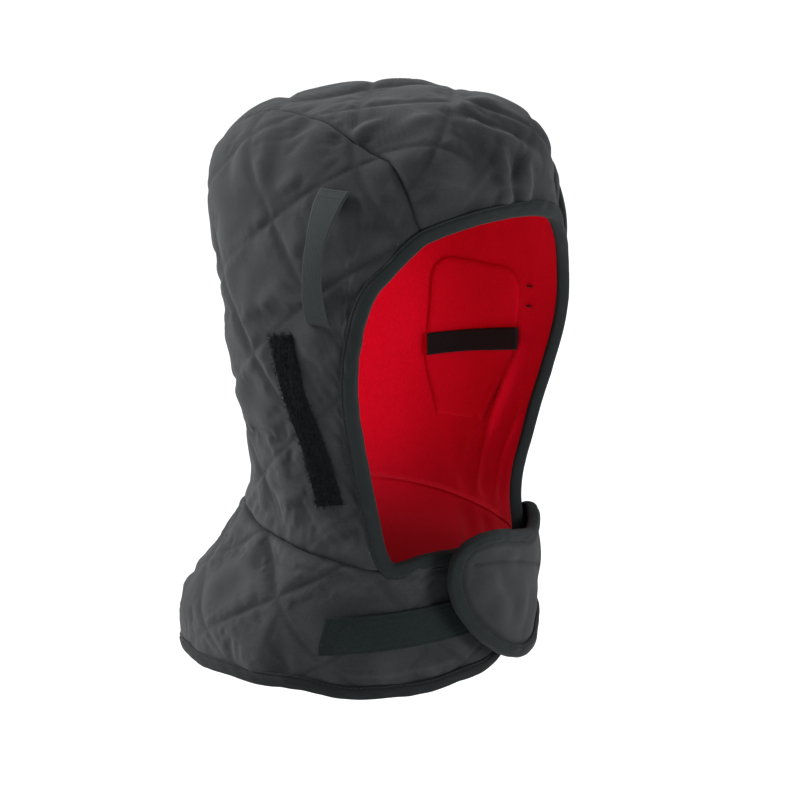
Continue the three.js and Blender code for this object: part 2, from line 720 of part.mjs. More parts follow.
const capeCloth = pulledIn(capePatch(CAPE_ROUND, CAPE_DOWN));
piece(neck, "cape", wall(cloth(capeCloth, capePuff, padding)), twill);
const capeLining = pulledIn(capePatch(LINING.round, LINING.drop), 2 * SEAM_GAP);
piece(neck, "cape_lining", wall(cloth(capeLining, liningTop, liningFoot)), fleece);
const hem = ringStations(CAPE_FREE_END, CAPE_LEFT_END - 360, CAPE_ROUND, hemDepth, -BIND_WIDTH);
piece(neck, "hem_binding", binding(hem, liningFoot), edging);
const chinStrip = [-0.5, -0.17, 0.17, 0.5].map((edge) => {
  const row = [];
  for (let i = 0; i <= 12; i++) {
    const angle = THREE.MathUtils.lerp(CHIN_STRIP.from, CHIN_STRIP.to, i / 12);
    const depth = THREE.MathUtils.lerp(CHIN_STRIP.depth, CHIN_STRIP.toDepth, i / 12);
    row.push(onRing(angle, depth + edge * CHIN_STRIP.width));
  }
  return row;
});
piece(neck, "chin_strip", wall(cloth(chinStrip, TAPE_GAP + TAPE, -TAPE_GAP)), looptape);

const wholeTab = { from: 0, to: 1, top: 0, bottom: 1 };
piece(closure, "chin_tab", wall(tabPatch(14, 6, 0, TAB_WALL, wholeTab)), twill);
const tabTape = { from: 0.55, to: 0.85, top: 0.3, bottom: 0.7 };
const tapeTop = TAB_WALL + TAPE_GAP;
piece(closure, "tab_patch", wall(tabPatch(6, 2, -tapeTop, tapeTop + TAPE, tabTape)), looptape);
const tabRim = [];
for (let i = 1; i <= 14; i++) tabRim.push(tabStation(Math.sin((Math.PI / 2) * (i / 14)), 0));
for (let i = 1; i <= 3; i++) tabRim.push(tabStation(1, i / 4));
for (let i = 14; i >= 1; i--) tabRim.push(tabStation(Math.sin((Math.PI / 2) * (i / 14)), 1));
piece(closure, "tab_binding", binding(tabRim, () => TAB_WALL), edging);

export default liner;
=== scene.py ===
# Looks of a quilted winter liner for a hard hat: a hood with a neck cape and a chin tab, in its worn form.
# Cloth is worked out in millimetres in the frame's axes, and brought to metres as each mesh is made.
import math

import bmesh
import bpy
import numpy as np
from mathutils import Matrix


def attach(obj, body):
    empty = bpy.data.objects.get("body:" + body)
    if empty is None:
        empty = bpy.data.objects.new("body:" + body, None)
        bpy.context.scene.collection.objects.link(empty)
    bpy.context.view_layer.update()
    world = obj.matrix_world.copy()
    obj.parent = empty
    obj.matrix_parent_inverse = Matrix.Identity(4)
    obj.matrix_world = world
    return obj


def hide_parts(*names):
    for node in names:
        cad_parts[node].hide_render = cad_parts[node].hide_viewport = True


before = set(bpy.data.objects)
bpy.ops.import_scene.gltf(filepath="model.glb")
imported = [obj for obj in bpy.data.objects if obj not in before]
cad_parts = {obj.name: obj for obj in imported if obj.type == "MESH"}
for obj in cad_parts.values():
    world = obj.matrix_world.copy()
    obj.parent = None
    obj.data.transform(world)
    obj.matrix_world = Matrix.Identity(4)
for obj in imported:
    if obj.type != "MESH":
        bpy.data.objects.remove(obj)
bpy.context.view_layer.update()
MM = 0.001

# Cloth thicknesses and the small gaps between plies
QUILT = 4.5
EDGE_QUILT = 2.2
FLEECE = 1.8
PLY_GAP = 1.4
EDGE_PLY_GAP = 0.2
TAPE = 1.6
TAPE_GAP = 0.5
STACK = QUILT + PLY_GAP + FLEECE
SHELL_WALL = 2.0

# Folded edge tape. BIND_BACK is the share of its width that shows on the inside
BIND_WIDTH = 7.0
BIND_WALL = 0.9
BIND_GAP = 0.4
BIND_BACK_GAP = 0.4
BIND_NOSE = 1.7
BIND_BACK = 0.25
TAB_BIND = 5.4
TAPE_REACH = (0, 0.3, 0.6, 1.0, 1.4, 1.8, 2.3, 3.0, 3.8, 4.7, 5.6, 6.3, 7.0)
TAPE_SWELL = 0.55
TAPE_CRUMPLE = 0.28
NOSE_CRUMPLE = 0.12
TURNED_EDGE = 0.6
TURNED_DROP = 0.9
TOPSTITCH_COLUMN = 4
TOPSTITCH_IN = TAPE_REACH[TOPSTITCH_COLUMN]
TOPSTITCH_GROOVE = 0.7

# Quilting: two families of stitch lines for each panel, as (turn in degrees, pitch, start)
SIDE_QUILT = [(52, 58, -38.5), (-38, 52, -51.5)]
CROWN_QUILT = [(37, 46, -12), (-37, 46, -10)]
CAPE_QUILT = [(32, 50, -14), (-39, 50, -6)]
CAPE_ARC = 1.7
CROWN_RUN = 400

# Wadding blown out between the stitch lines, by a cloth simulation on every third row and column
PUFF_CAP = 3.3
BLOW_FRAMES = 20
BLOW_STEP = 3
BLOW_PRESSURE = 4.8
BLOW_STRETCH = 0.010
STITCH_HOLD = 2.2
STITCH_GROOVE = 0.55
STITCH_GROOVE_WIDTH = 1.5
SHELL_SLACK = 0.8
LINING_SLACK = 0.35

# Seams between panels, puckers along sewn edges, and the hem
SEAM_DROP = 3.1
SEAM_ROLL = 4.2
SEAM_LAP = 0.5
SEAM_HOLD = 2.5
SEAM_PUCKER = 0.4
EDGE_PUCKER = 0.45
HEM_RIPPLE = 0.7

# Painted wear and shade: how strongly ridges are lightened and hollows darkened, partly as wear and partly as
# painted shade and highlight, over how many rounds of blurring, and where the fleece darkens as painted shade
# towards the hem
WEAR_AND_SHADE_GAIN = 0.22
RIDGE_REACH = 100
PAINTED_SHADE_FROM = -190
PAINTED_SHADE_TO = -300

# Angles round the neck, in degrees from the front towards the wearer's left
CHIN_CORNER = 41.5
NAPE_CORNER = 150
CAPE_FREE_END = 31
CAPE_LEFT_END = 40
TAB_END = 58
TAB_TIP = -22

# Chin tab: its edge as (distance along it, depth), from its sewn end round the tip and back
TAB_EDGE = [
    (0, 252), (7, 246), (15, 246), (25, 251), (37, 253), (50, 250.5), (64, 247), (80, 242),
    (96, 239.5), (107, 242), (113, 249), (115.5, 259), (114, 271), (109, 283), (102, 294), (93, 304),
    (80, 314), (64, 320), (50, 321), (37, 320), (18, 315), (0, 306),
]
TAB_WALL = 4.0
TAB_GAP = 0.8
TAB_LENGTH = 116
TAB_OVERLAP = 4.6
TAB_LIFT = 9.0
TAB_PUFF = 1.5
TAB_SLACK = 0.45
TAB_SEAM_GROOVE = 0.9
TAB_EDGE_GROOVE = 0.8
TAB_PATCH_BOX = (66, 98, 262, 290)
TAB_SEAM = [(103, 256), (90, 257.5), (60, 266), (28, 278)]

# Tapes on a side panel: (y, depth, to y, to depth, width)
MASK_STRIP = (-13, 127, -32, 225, 17)
MASK_FUZZ = 0.28
MASK_FIBRES = 1500
FIBRE = 3.4
HELMET_LOOP = (-42, 43, -40, 118, 14)
LOOP_WALL = 1.5
LOOP_GAP = 0.8
LOOP_LIFT = 11.5
LOOP_STITCH_ROWS = (3, 6, -7, -4)
EAR_POCKET = (4, 113, 4, 204, 68)
POCKET_CORNER = 13
POCKET_MIDDLE = 6
POCKET_HALF = 32.5
POCKET_FOOT_HALF = 17
POCKET_TAPER_FROM = 52
POCKET_STRIP = (-32, 154, 37, 166, 13.5)
POCKET_WALL = 1.4
POCKET_GAP = 0.4
TACK_DEPTHS = (122, 134)
TACK_REACH = (-39, -33)
TACK_RISE = 0.5

# Tape on the cape: (angle, depth, to angle, to depth, width)
CHIN_STRIP = (-60, 299, 3, 290, 22)
CHIN_STRIP_LENGTH = 112

# Where the cape is held flat. Round the chin strip: angle before it, angle past it, width. Behind the tab's
# sewn end: angle in from it, depth, to depth, width
CHIN_STRIP_HOLD = (5, 10, 30)
TAB_HOLD = (10, 260, 330, 60)

# Level sections of the outer skin: depth below the crown's top, half width, middle, front and back Y, and the
# roundness of the front and back halves
FORM = [
    (0, 0, 6, 6, 6, 2.2, 2.2),
    (2, 34, 4, -48, 36, 2.9, 2.2),
    (8, 56, 3, -69, 59, 3.1, 2.3),
    (20, 72, 2, -85, 82, 3.1, 2.3),
    (40, 83, 0, -94, 100, 2.6, 2.3),
    (62, 88, 0, -97, 104, 2.45, 2.25),
    (100, 92, 0, -98, 93, 2.55, 2.1),
    (135, 92, -2, -97, 83, 2.6, 2.05),
    (165, 88, -3, -94, 77, 2.5, 2.05),
    (195, 80, -4, -90, 76, 2.4, 2.05),
    (225, 76.5, -4, -84, 77, 2.3, 2.05),
    (243, 77, -3, -80, 84, 2.15, 2.1),
    (262, 82, 0, -78, 95, 2.08, 2.2),
    (282, 91, 8, -78, 110, 2.03, 2.2),
    (303, 98, 15, -79, 126, 2, 2.2),
    (320, 98, 16, -79, 126, 2, 2.2),
    (340, 96, 16, -77, 123, 2, 2.2),
]

# Places where the worn cloth has slumped, or stands out where sink is below 0: x, y, depth, reach, sink
SLUMPS = [
    (-56, -48, 22, 46, 13), (-24, 22, 4, 50, 6.5), (66, -60, 305, 46, 6.5), (84, -65, 125, 70, -5),
    (60, -57, 226, 34, 4),
]

# Seam between the crown panel and a side panel, and the edge of the face opening: x, y, depth
CROWN_SEAM = [
    (54, -87, 69), (57, -62, 33), (57, -30, 18), (54, 5, 11), (49, 45, 10), (47, 74, 26), (46, 92, 62),
    (45, 86, 115), (42, 74, 175),
]
FACE_EDGE = [
    (54, -87, 69), (67, -79, 83), (78, -68, 102), (84, -62.5, 131), (83, -59, 161),
    (75, -56.5, 193), (64, -55.5, 224), (57, -57, 250),
]
BROW = (0, -97, 61)

# Seam between hood and cape, by angle from the front, and the hem, by angle towards the wearer's left
NECK_LINE = [
    (0, 255), (25, 255), (34, 257.5), (CHIN_CORNER, 260), (52, 260), (65, 257.5), (90, 252), (135, 243),
    (180, 240),
]
HEM_LINE = [
    (-320, 320), (-290, 328), (-250, 333), (-180, 333), (-90, 330), (-60, 331.5), (-40, 334),
    (-27, 333), (-12, 330), (0, 326.5), (8, 321), (18, 312), (31, 300),
]

# Grid steps of the panels, the lining, the edge tapes and the tab
SIDE_ACROSS = 144
SIDE_DOWN = 162
CROWN_ACROSS = 105
CAPE_ROUND = 561
CAPE_DOWN = 84
LINING_ACROSS = 108
LINING_DOWN = 118
LINING_CROWN = 44
LINING_ROUND = 280
LINING_DROP = 42
CHIN_LINE_POINTS = 70
FACE_SIDE_STEPS = 200
BROW_STEPS = 120
FACE_TAPE_STEPS = 560
FACE_SMOOTHING = 12
HEM_TAPE_POINTS = 480
TAB_TAPE_STEPS = 320
TAB_ALONG = 110
TAB_DOWN = 80
TAB_SEAM_STEPS = 90

HEAD_CENTRE = np.array([0, -4, STACK - 125.0])

# Stage, in metres
AIM = np.array([0.0069, -0.0069, -0.1737])
CAMERA_AZIMUTH = math.radians(-45)
CAMERA_RISE = math.radians(13)
CAMERA_DISTANCE = 2.5
LENS = 195.7
FLOOR_HEIGHT = -0.5
FLOOR_TONE = 0.76
SKY_STRENGTH = 0.32

# Single folds on the flat cloth, as (start, bend, end, width, rise). Their places are Y and height on a side
# panel, X and run from the brow on the crown, distance round and height on the cape, distance along and depth
# on the tab.
RIGHT_FOLDS = [
    (44, -17, 19, -32, 3, -56, 7, 2.7), (34, -10, 10, -28, 9, -43, 6, 2.0),
    (10, -74, 22, -82, 34, -93, 6, 2.2), (38, -26, 33, -36, 28, -48, 7, 1.8),
    (-18, -38, -10, -43, -3, -49, 5, 1.8), (-7, -103, -1, -110, 4, -118, 6, 1.9),
    (12, -143, 20, -150, 29, -158, 6, 2.0), (70, -22, 58, -16, 46, -11, 4, -2.0),
    (42, -60, 38, -90, 28, -122, 9, 2.0), (52, -110, 40, -150, 28, -200, 11, 2.6),
    (15, -180, 0, -215, -8, -245, 8, 1.6), (-42, -150, -50, -190, -46, -236, 6, -1.2),
    (30, -205, 18, -228, 4, -246, 6, -1.6), (-22, -236, -36, -246, -54, -252, 5, 1.6),
]
LEFT_FOLDS = [
    (40, -22, 22, -40, 8, -62, 8, 2.4), (20, -80, 30, -92, 42, -104, 7, 2.0),
    (46, -118, 36, -150, 30, -192, 10, 2.4), (0, -140, 8, -160, 22, -176, 7, 1.8),
    (10, -190, -2, -216, -12, -244, 8, 1.6), (-30, -60, -18, -72, -8, -90, 6, 1.6),
]
CROWN_FOLDS = [
    (-13, -63, 3, -46, 36, -29, 4, -2.0), (-8, -55, 8, -38, 38, -22, 5.5, 3.4),
    (-17, -63, 16, -69, 32, -67, 5, 2.4), (-42, -66, -31, -66, -22, -62, 5, 2.1),
    (-53, -32, -40, -24, -26, -17, 2, 1.1), (-31, -10, -14, -22, 5, -27, 2.2, 1.1),
    (16, -32, 7, -17, 11, 0, 3, -1.1), (4, -31, -2, -15, 3, -1, 4, 3.8),
    (22, -26, 17, -12, 19, -1, 4, 2.9), (-66, -78, -55, -86, -40, -80, 4, 3.0),
    (30, -120, 10, -140, -20, -150, 8, 2.2), (-30, -190, 0, -204, 34, -196, 8, 2.4),
    (-28, -330, 0, -316, 26, -326, 8, 2.6), (20, -250, 8, -280, 12, -310, 8, 2.1),
]
CAPE_FOLDS = [
    (-178, -249, -168, -261, -146, -273, 5, -2.0), (-190, -252, -181, -266, -160, -281, 6, 2.1),
    (-219, -262, -222, -272, -216, -280, 6, 2.2), (-236, -292, -234, -306, -230, -318, 5, -2.1),
    (-44, -312, -38, -318, -30, -326, 6, 2.1), (-84, -268, -96, -276, -112, -280, 6, 1.6),
    (-300, -256, -306, -284, -298, -318, 10, 2.2), (-372, -258, -366, -286, -374, -316, 10, 2.1),
    (-440, -262, -446, -288, -438, -314, 9, 2.0), (-72, -300, -67, -314, -60, -330, 7, 1.8),
    (-132, -304, -127, -316, -118, -330, 7, -1.4), (-102, -300, -98, -314, -92, -330, 7, 1.7),
]
TAB_FOLDS = [
    (92, 262, 87, 275, 77, 289, 4, 1.1), (66, 312, 57, 300, 49, 284, 5, -0.8),
    (52, 314, 42, 302, 32, 290, 6, 1.0), (98, 246, 80, 250, 62, 253, 4, 0.7),
]
LINING_FOLDS = [
    (-32, -160, -25, -206, -14, -252, 4, 6.0), (-22, -174, -15, -210, -4, -252, 2.6, -3.0),
    (-50, -184, -43, -214, -34, -250, 3.5, 5.0), (-40, -186, -34, -214, -24, -252, 2.6, -2.6),
    (-9, -194, -4, -220, 6, -250, 3.2, 2.8), (18, -212, 10, -226, 2, -240, 6, 1.2),
    (-20, -120, -26, -136, -28, -150, 5, 0.8),
]
CAPE_LINING_FOLDS = [
    (-452, -250, -460, -276, -452, -306, 6, 3.0), (-474, -252, -480, -280, -472, -308, 6, 3.0),
]


# The form of the hood

def smoothstep(value, low, high):
    """0 up to a low value, 1 from a high one, and a smooth rise between them."""
    t = np.clip((value - low) / (high - low), 0, 1)
    return t * t * (3 - 2 * t)


def curve_through(rows, stretch=lambda t: t):
    """A smooth curve through the rows of a table: a function from the first column to the others."""
    table = np.asarray(rows, float)
    t = stretch(table[:, 0])
    values = table[:, 1:]
    slopes = np.gradient(values, axis=0)
    slopes[1:-1] = (values[2:] - values[:-2]) / (t[2:] - t[:-2])[:, None]
    slopes[0] = (values[1] - values[0]) / (t[1] - t[0])
    slopes[-1] = (values[-1] - values[-2]) / (t[-1] - t[-2])

    def at(place):
        s = np.clip(stretch(np.asarray(place, float)), t[0], t[-1])
        i = np.clip(np.searchsorted(t, s) - 1, 0, len(t) - 2)
        span = (t[i + 1] - t[i])[..., None]
        f = ((s - t[i])[..., None]) / span
        start = values[i] * (1 + 2 * f) * (1 - f) ** 2 + slopes[i] * span * f * (1 - f) ** 2
        end = values[i + 1] * f * f * (3 - 2 * f) - slopes[i + 1] * span * f * f * (1 - f)
        return start + end

    return at


section = curve_through(FORM, lambda depth: np.sqrt(np.maximum(depth, 0)))
neck_line = curve_through(NECK_LINE)
hem_line = curve_through(HEM_LINE)


def neck_depth(angle):
    return neck_line(np.abs((np.asarray(angle, float) + 180) % 360 - 180))[..., 0]


def hem_depth(angle):
    """Depth of the hem, with the ripples of its taped edge."""
    turn = np.radians(angle)
    return hem_line(angle)[..., 0] + HEM_RIPPLE * (np.sin(12 * turn) + 0.7 * np.sin(7 * turn + 1))


def half_section(depth, ahead):
    """Half width, middle, reach and roundness of a section's front or back half."""
    half, mid, front, back, square, back_square = np.moveaxis(section(depth), -1, 0)
    in_front = ahead(mid)
    reach = np.where(in_front, mid - front, back - mid)
    return np.maximum(half, 1e-6), mid, np.maximum(reach, 1e-6), np.where(in_front, square, back_square)


def fill(points):
    """How full the form is at a point: 1 on its skin, less inside."""
    x, y, depth = points[..., 0], points[..., 1], STACK - points[..., 2]
    half, mid, reach, square = half_section(depth, lambda mid: y < mid)
    full = (np.abs(x) / half) ** square + (np.abs(y - mid) / reach) ** square
    return np.where(depth <= 0, 2, full)


def outward(points):
    """The outward direction of the skin."""
    step = 0.2 * np.eye(3)
    slope = np.stack([fill(points + s) - fill(points - s) for s in step], axis=-1)
    return unit(slope)


def unit(vectors):
    return vectors / np.maximum(np.linalg.norm(vectors, axis=-1, keepdims=True), 1e-12)


def on_hood(targets):
    """The first point of the skin in the direction of each target, seen from the middle of the head."""
    ray = unit(np.asarray(targets, float) - HEAD_CENTRE)
    step = 4.0
    near = np.full(ray.shape[:-1], 20.0)
    inside = np.ones(near.shape, bool)
    while inside.any():
        inside &= fill(HEAD_CENTRE + ray * (near + step)[..., None]) < 1
        near = np.where(inside, near + step, near)
    far = near + step
    for _ in range(22):
        reach = (near + far) / 2
        full = fill(HEAD_CENTRE + ray * reach[..., None]) >= 1
        far = np.where(full, reach, far)
        near = np.where(full, near, reach)
    return HEAD_CENTRE + ray * near[..., None]


def on_side(side, y, depth):
    """The point of the skin on one side of the hood, by its Y and depth."""
    half, mid, reach, square = half_section(depth, lambda mid: y < mid)
    x = half * np.maximum(1 - (np.abs(y - mid) / reach) ** square, 0) ** (1 / square)
    return np.stack([side * x, y + 0 * x, STACK - depth + 0 * x], axis=-1)


def on_ring(angle, depth):
    """The point of the skin at an angle round the neck and a depth."""
    angle, depth = np.broadcast_arrays(np.radians(angle), np.asarray(depth, float))
    across, ahead = np.sin(angle), -np.cos(angle)
    half, mid, reach, square = half_section(depth, lambda mid: ahead < 0)
    size = ((np.abs(across) / half) ** square + (np.abs(ahead) / reach) ** square) ** (1 / square)
    return np.stack([across / size, mid + ahead / size, STACK - depth], axis=-1)


def slump(points):
    """How far the worn cloth has slumped inwards."""
    total = 0
    for x, y, depth, reach, sink in SLUMPS:
        away = np.linalg.norm(points - np.array([x, y, STACK - depth]), axis=-1) / reach
        total = total + sink * np.exp(-2.5 * away * away)
    return total


def table_points(rows, side):
    return [(side * x, y, STACK - depth) for x, y, depth in rows]


def evenly(points, steps):
    """Points at even distances along a line of points."""
    length = run(points, 0)
    even = np.linspace(0, length[-1], steps + 1)
    return np.stack([np.interp(even, length, points[:, k]) for k in range(points.shape[1])], axis=-1)


def run(points, axis):
    """Distance along a grid's rows or columns, or along a line, from its first point."""
    gaps = np.linalg.norm(np.diff(points, axis=axis), axis=-1)
    start = np.zeros_like(np.take(gaps, [0], axis=axis))
    return np.concatenate([start, np.cumsum(gaps, axis=axis)], axis=axis)


def traced(targets, steps):
    """Evenly spaced points of the skin along a smooth line through some targets."""
    knots = on_hood(targets)
    t = np.concatenate([[0], np.cumsum(np.sqrt(np.linalg.norm(np.diff(knots, axis=0), axis=1)))])
    line = curve_through(np.column_stack([t, knots]))(np.linspace(0, t[-1], 600))
    return on_hood(evenly(line, steps))


def face_line(side, steps):
    """One side of the face opening's edge, from the brow to the chin."""
    chin = on_ring(side * CHIN_CORNER, neck_depth(CHIN_CORNER))
    return traced([*table_points(FACE_EDGE, side), chin], steps)


def hood_lines(side, across, down):
    """The lines round a side panel: crown seam along its top and back, neck seam and face edge."""
    corner = on_ring(side * NAPE_CORNER, neck_depth(NAPE_CORNER))
    angle = np.linspace(CHIN_CORNER, NAPE_CORNER, across + 1)
    neck = on_ring(side * angle, neck_depth(angle))
    seam = traced([*table_points(CROWN_SEAM, side), corner], across + down)
    return seam, neck, face_line(side, down)


def patch_between(top, bottom, left, right):
    """A patch of the hood's skin between four lines that share their corners."""
    u = np.linspace(0, 1, len(top))[None, :, None]
    v = np.linspace(0, 1, len(left))[:, None, None]
    corners = (1 - v) * ((1 - u) * top[0] + u * top[-1]) + v * ((1 - u) * bottom[0] + u * bottom[-1])
    down = (1 - v) * top[None] + v * bottom[None]
    across = (1 - u) * left[:, None] + u * right[:, None]
    return on_hood(down + across - corners)


def side_patch(side, across, down):
    seam, neck, face = hood_lines(side, across, down)
    return patch_between(seam[:across + 1], neck, face, seam[across:])


def brow_line(steps):
    ends = [table_points(CROWN_SEAM[:1], side)[0] for side in (-1, 1)]
    return traced([ends[0], *table_points([BROW], 1), ends[1]], steps)


def crown_patch(crown, across, down):
    angle = np.linspace(-NAPE_CORNER, NAPE_CORNER - 360, crown + 1)
    nape = on_ring(angle, neck_depth(angle))
    right = hood_lines(-1, across, down)[0]
    left = hood_lines(1, across, down)[0]
    return patch_between(brow_line(crown), nape, right, left)


def cape_patch(round_steps, drop):
    angle = np.linspace(CAPE_FREE_END, CAPE_LEFT_END - 360, round_steps + 1)[None]
    v = np.linspace(0, 1, drop + 1)[:, None]
    depth = (1 - v) * neck_depth(angle) + v * hem_depth(angle)
    return on_ring(angle, depth)


# Cloth

def waves(places, size, seed):
    """Random smooth waves of about a size, mostly between -1 and 1."""
    draw = np.random.default_rng(seed)
    count = 24
    heading = unit(draw.normal(size=(count, places.shape[-1])))
    heading *= 2 * np.pi / (size * draw.uniform(0.7, 1.6, (count, 1)))
    phase = draw.uniform(0, 2 * np.pi, count)
    return np.sin(places @ heading.T + phase).sum(-1) / math.sqrt(count)


def folded(flat, folds):
    """Heights of single folds on the flat cloth, each along a bent line that dies away at both ends."""
    height = np.zeros(flat.shape[:-1])
    for x, y, bend_x, bend_y, to_x, to_y, width, rise in folds:
        t = np.linspace(0, 1, 25)[:, None]
        line = (1 - t) ** 2 * [x, y] + 2 * t * (1 - t) * np.array([bend_x, bend_y]) + t ** 2 * [to_x, to_y]
        away = np.linalg.norm(flat[..., None, :] - line, axis=-1)
        nearest = away.argmin(-1)
        taper = np.sin(np.pi * np.clip(nearest / 24, 0.04, 0.96)) ** 0.6
        height += rise * taper * np.exp(-(away.min(-1) / width) ** 2)
    return height


def across_lines(flat, turn, start):
    """Distance on the flat cloth across a family of stitch lines, from its first line."""
    angle = math.radians(turn)
    return flat[..., 1] * math.cos(angle) - flat[..., 0] * math.sin(angle) - start


def line_gap(flat, family):
    """Distance on the flat cloth from the nearest stitch line of a family."""
    turn, pitch, start = family
    return np.abs((across_lines(flat, turn, start) + pitch / 2) % pitch - pitch / 2)


def away_from_tape(places, strip):
    """0 under a tape that runs between two places, and 1 away from it."""
    start, end = np.array(strip[:2], float), np.array(strip[2:4], float)
    way = end - start
    t = np.clip((places - start) @ way / (way @ way), 0, 1)
    gap = np.linalg.norm(places - start - t[..., None] * way, axis=-1) - strip[4] / 2
    return smoothstep(gap, 2, 12)


def mended(normals):
    """A grid of directions, with any that turns away from its neighbours put back among them."""
    around = unit(np.stack([blurred(normals[..., axis], 3) for axis in range(3)], axis=-1))
    odd = (normals * around).sum(-1, keepdims=True) < 0.9
    return np.where(odd, around, normals)


class Panel:
    """A grid of points on the skin, with its outward directions, its place on the flat cloth and its rim."""

    def __init__(self, points, flat):
        self.points = points
        self.normals = mended(outward(points))
        self.flat = flat
        self.along = run(points, 1)
        self.down = run(points, 0)
        self.rims = {
            "left": (self.along, self.down),
            "right": (self.along[:, -1:] - self.along, self.down),
            "top": (self.down, self.along),
            "bottom": (self.down[-1:] - self.down, self.along),
        }


def side_panel(side, across, down):
    points = side_patch(side, across, down)
    return Panel(points, np.stack([points[..., 1], points[..., 2] - STACK], axis=-1))


def crown_panel(crown, across, down):
    points = crown_patch(crown, across, down)
    up = -CROWN_RUN * np.linspace(0, 1, len(points))[:, None] + 0 * points[..., 0]
    return Panel(points, np.stack([points[..., 0], up], axis=-1))


def cape_panel(round_steps, drop):
    points = cape_patch(round_steps, drop)
    angle = np.linspace(CAPE_FREE_END, CAPE_LEFT_END - 360, round_steps + 1)[None] + 0 * points[..., 0]
    return Panel(points, np.stack([CAPE_ARC * angle, points[..., 2] - STACK], axis=-1))


def spread(values, rows, columns):
    """Values of a coarse grid, spread smoothly over a fine one."""
    def along_first(block, count):
        knots = np.arange(len(block), dtype=float)
        flat = block.reshape(len(block), -1)
        fine = curve_through(np.column_stack([knots, flat]))(np.linspace(0, len(block) - 1, count))
        return fine.reshape(count, *block.shape[1:])
    tall = along_first(values, rows)
    return along_first(tall.swapaxes(0, 1), columns).swapaxes(0, 1)


def blown(panel, held):
    """How the wadding blows the cloth out between its stitch lines: a cloth simulation on a coarse grid."""
    coarse = (slice(None, None, BLOW_STEP), slice(None, None, BLOW_STEP))
    points = panel.points[coarse]
    rows, columns = panel.points.shape[:2]
    mesh = grid_mesh("blown", [(points, panel.flat[coarse])])
    skin = bpy.data.objects.new("blown", mesh)
    bpy.context.scene.collection.objects.link(skin)
    group = skin.vertex_groups.new(name="held")
    for index, weight in enumerate(held[coarse].ravel()):
        group.add([index], float(weight), "REPLACE")
    cloth = skin.modifiers.new("blown", "CLOTH")
    cloth.settings.quality = 6
    cloth.settings.mass = 0.3
    cloth.settings.tension_stiffness = 20
    cloth.settings.compression_stiffness = 6
    cloth.settings.shear_stiffness = 6
    cloth.settings.bending_stiffness = 2.5
    cloth.settings.air_damping = 2
    cloth.settings.shrink_min = -BLOW_STRETCH
    cloth.settings.use_pressure = True
    cloth.settings.uniform_pressure_force = BLOW_PRESSURE
    cloth.settings.vertex_group_mass = "held"
    cloth.settings.effector_weights.gravity = 0
    cloth.point_cache.frame_start = 1
    cloth.point_cache.frame_end = BLOW_FRAMES
    for number in range(1, BLOW_FRAMES + 1):
        bpy.context.scene.frame_set(number)
    result = skin.evaluated_get(bpy.context.evaluated_depsgraph_get()).data
    places = np.empty(len(result.vertices) * 3)
    result.vertices.foreach_get("co", places)
    moved = places.reshape(points.shape) / MM - points
    bpy.data.objects.remove(skin)
    bpy.data.meshes.remove(mesh)
    length = np.linalg.norm(moved, axis=-1, keepdims=True)
    moved *= PUFF_CAP * np.tanh(length / PUFF_CAP) / np.maximum(length, 1e-9)
    return spread(moved, rows, columns)


# Meshes

def grid_mesh(name, grids):
    """One mesh from grids of points and flat places, sewn together where their edges meet."""
    bm = bmesh.new()
    flat_layer = bm.loops.layers.uv.new("flat")
    for points, flat in grids:
        rows, columns = points.shape[:2]
        made = bmesh.ops.create_grid(bm, x_segments=columns - 1, y_segments=rows - 1, size=1)
        for vert, place, spot in zip(made["verts"], points.reshape(-1, 3) * MM, flat.reshape(-1, 2) * MM):
            vert.co = place
            for loop in vert.link_loops:
                loop[flat_layer].uv = spot
    if len(grids) > 1:
        bmesh.ops.remove_doubles(bm, verts=bm.verts, dist=0.02 * MM)
        bmesh.ops.recalc_face_normals(bm, faces=bm.faces)
    for face in bm.faces:
        face.smooth = True
    mesh = bpy.data.meshes.new(name)
    bm.to_mesh(mesh)
    bm.free()
    return mesh


def blurred(values, rounds):
    """A grid's values, each mixed with its neighbours over and over."""
    for _ in range(rounds):
        wide = np.pad(values, 1, mode="edge")
        values = (wide[:-2, 1:-1] + wide[2:, 1:-1] + wide[1:-1, :-2] + wide[1:-1, 2:]) / 4
    return values


def mark_ridges(mesh, height):
    """Keeps how far each point of a grid stands over its surroundings, for its colour: 0.5 is level, and more
    stands higher. Raised places are lightened and hollows darkened, partly as wear and partly as painted
    shade and highlight.
    """
    wear_and_shade = np.clip(0.5 + WEAR_AND_SHADE_GAIN * (height - blurred(height, RIDGE_REACH)), 0, 1)
    mesh.attributes.new("wear_and_shade", "FLOAT", "POINT").data.foreach_set("value", wear_and_shade.ravel())


def ridged_mesh(name, points, normals, flat, height):
    """A mesh of the outer face of shell cloth, with its ridges marked for painted wear and shade."""
    grid, laid = outer_faces(points, normals, flat)
    mesh = grid_mesh(name, [(grid, laid)])
    mark_ridges(mesh, height if grid is points else height[:, ::-1])
    return mesh


def piece(name, mesh, material, slot, *nodes):
    """A finished piece that rides on the one body and stands for its nodes."""
    made = bpy.data.objects.new(name, mesh)
    bpy.context.scene.collection.objects.link(made)
    mesh.materials.append(material)
    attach(made, "root")
    if nodes:
        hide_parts(*nodes)
    return made


def thicken(made, thickness, offset):
    """Gives a sheet its wall. An offset of -1 puts it all behind the faces, and 0 on both sides."""
    wall = made.modifiers.new("wall", "SOLIDIFY")
    wall.thickness = thickness * MM
    wall.offset = offset
    return made


def facing(points, normals):
    """1 where a grid's faces point the same way as its normals, or else -1."""
    across = points[:-1, 1:] - points[:-1, :-1]
    down = points[1:, :-1] - points[:-1, :-1]
    return np.sign((np.cross(across, down) * normals[:-1, :-1]).sum())


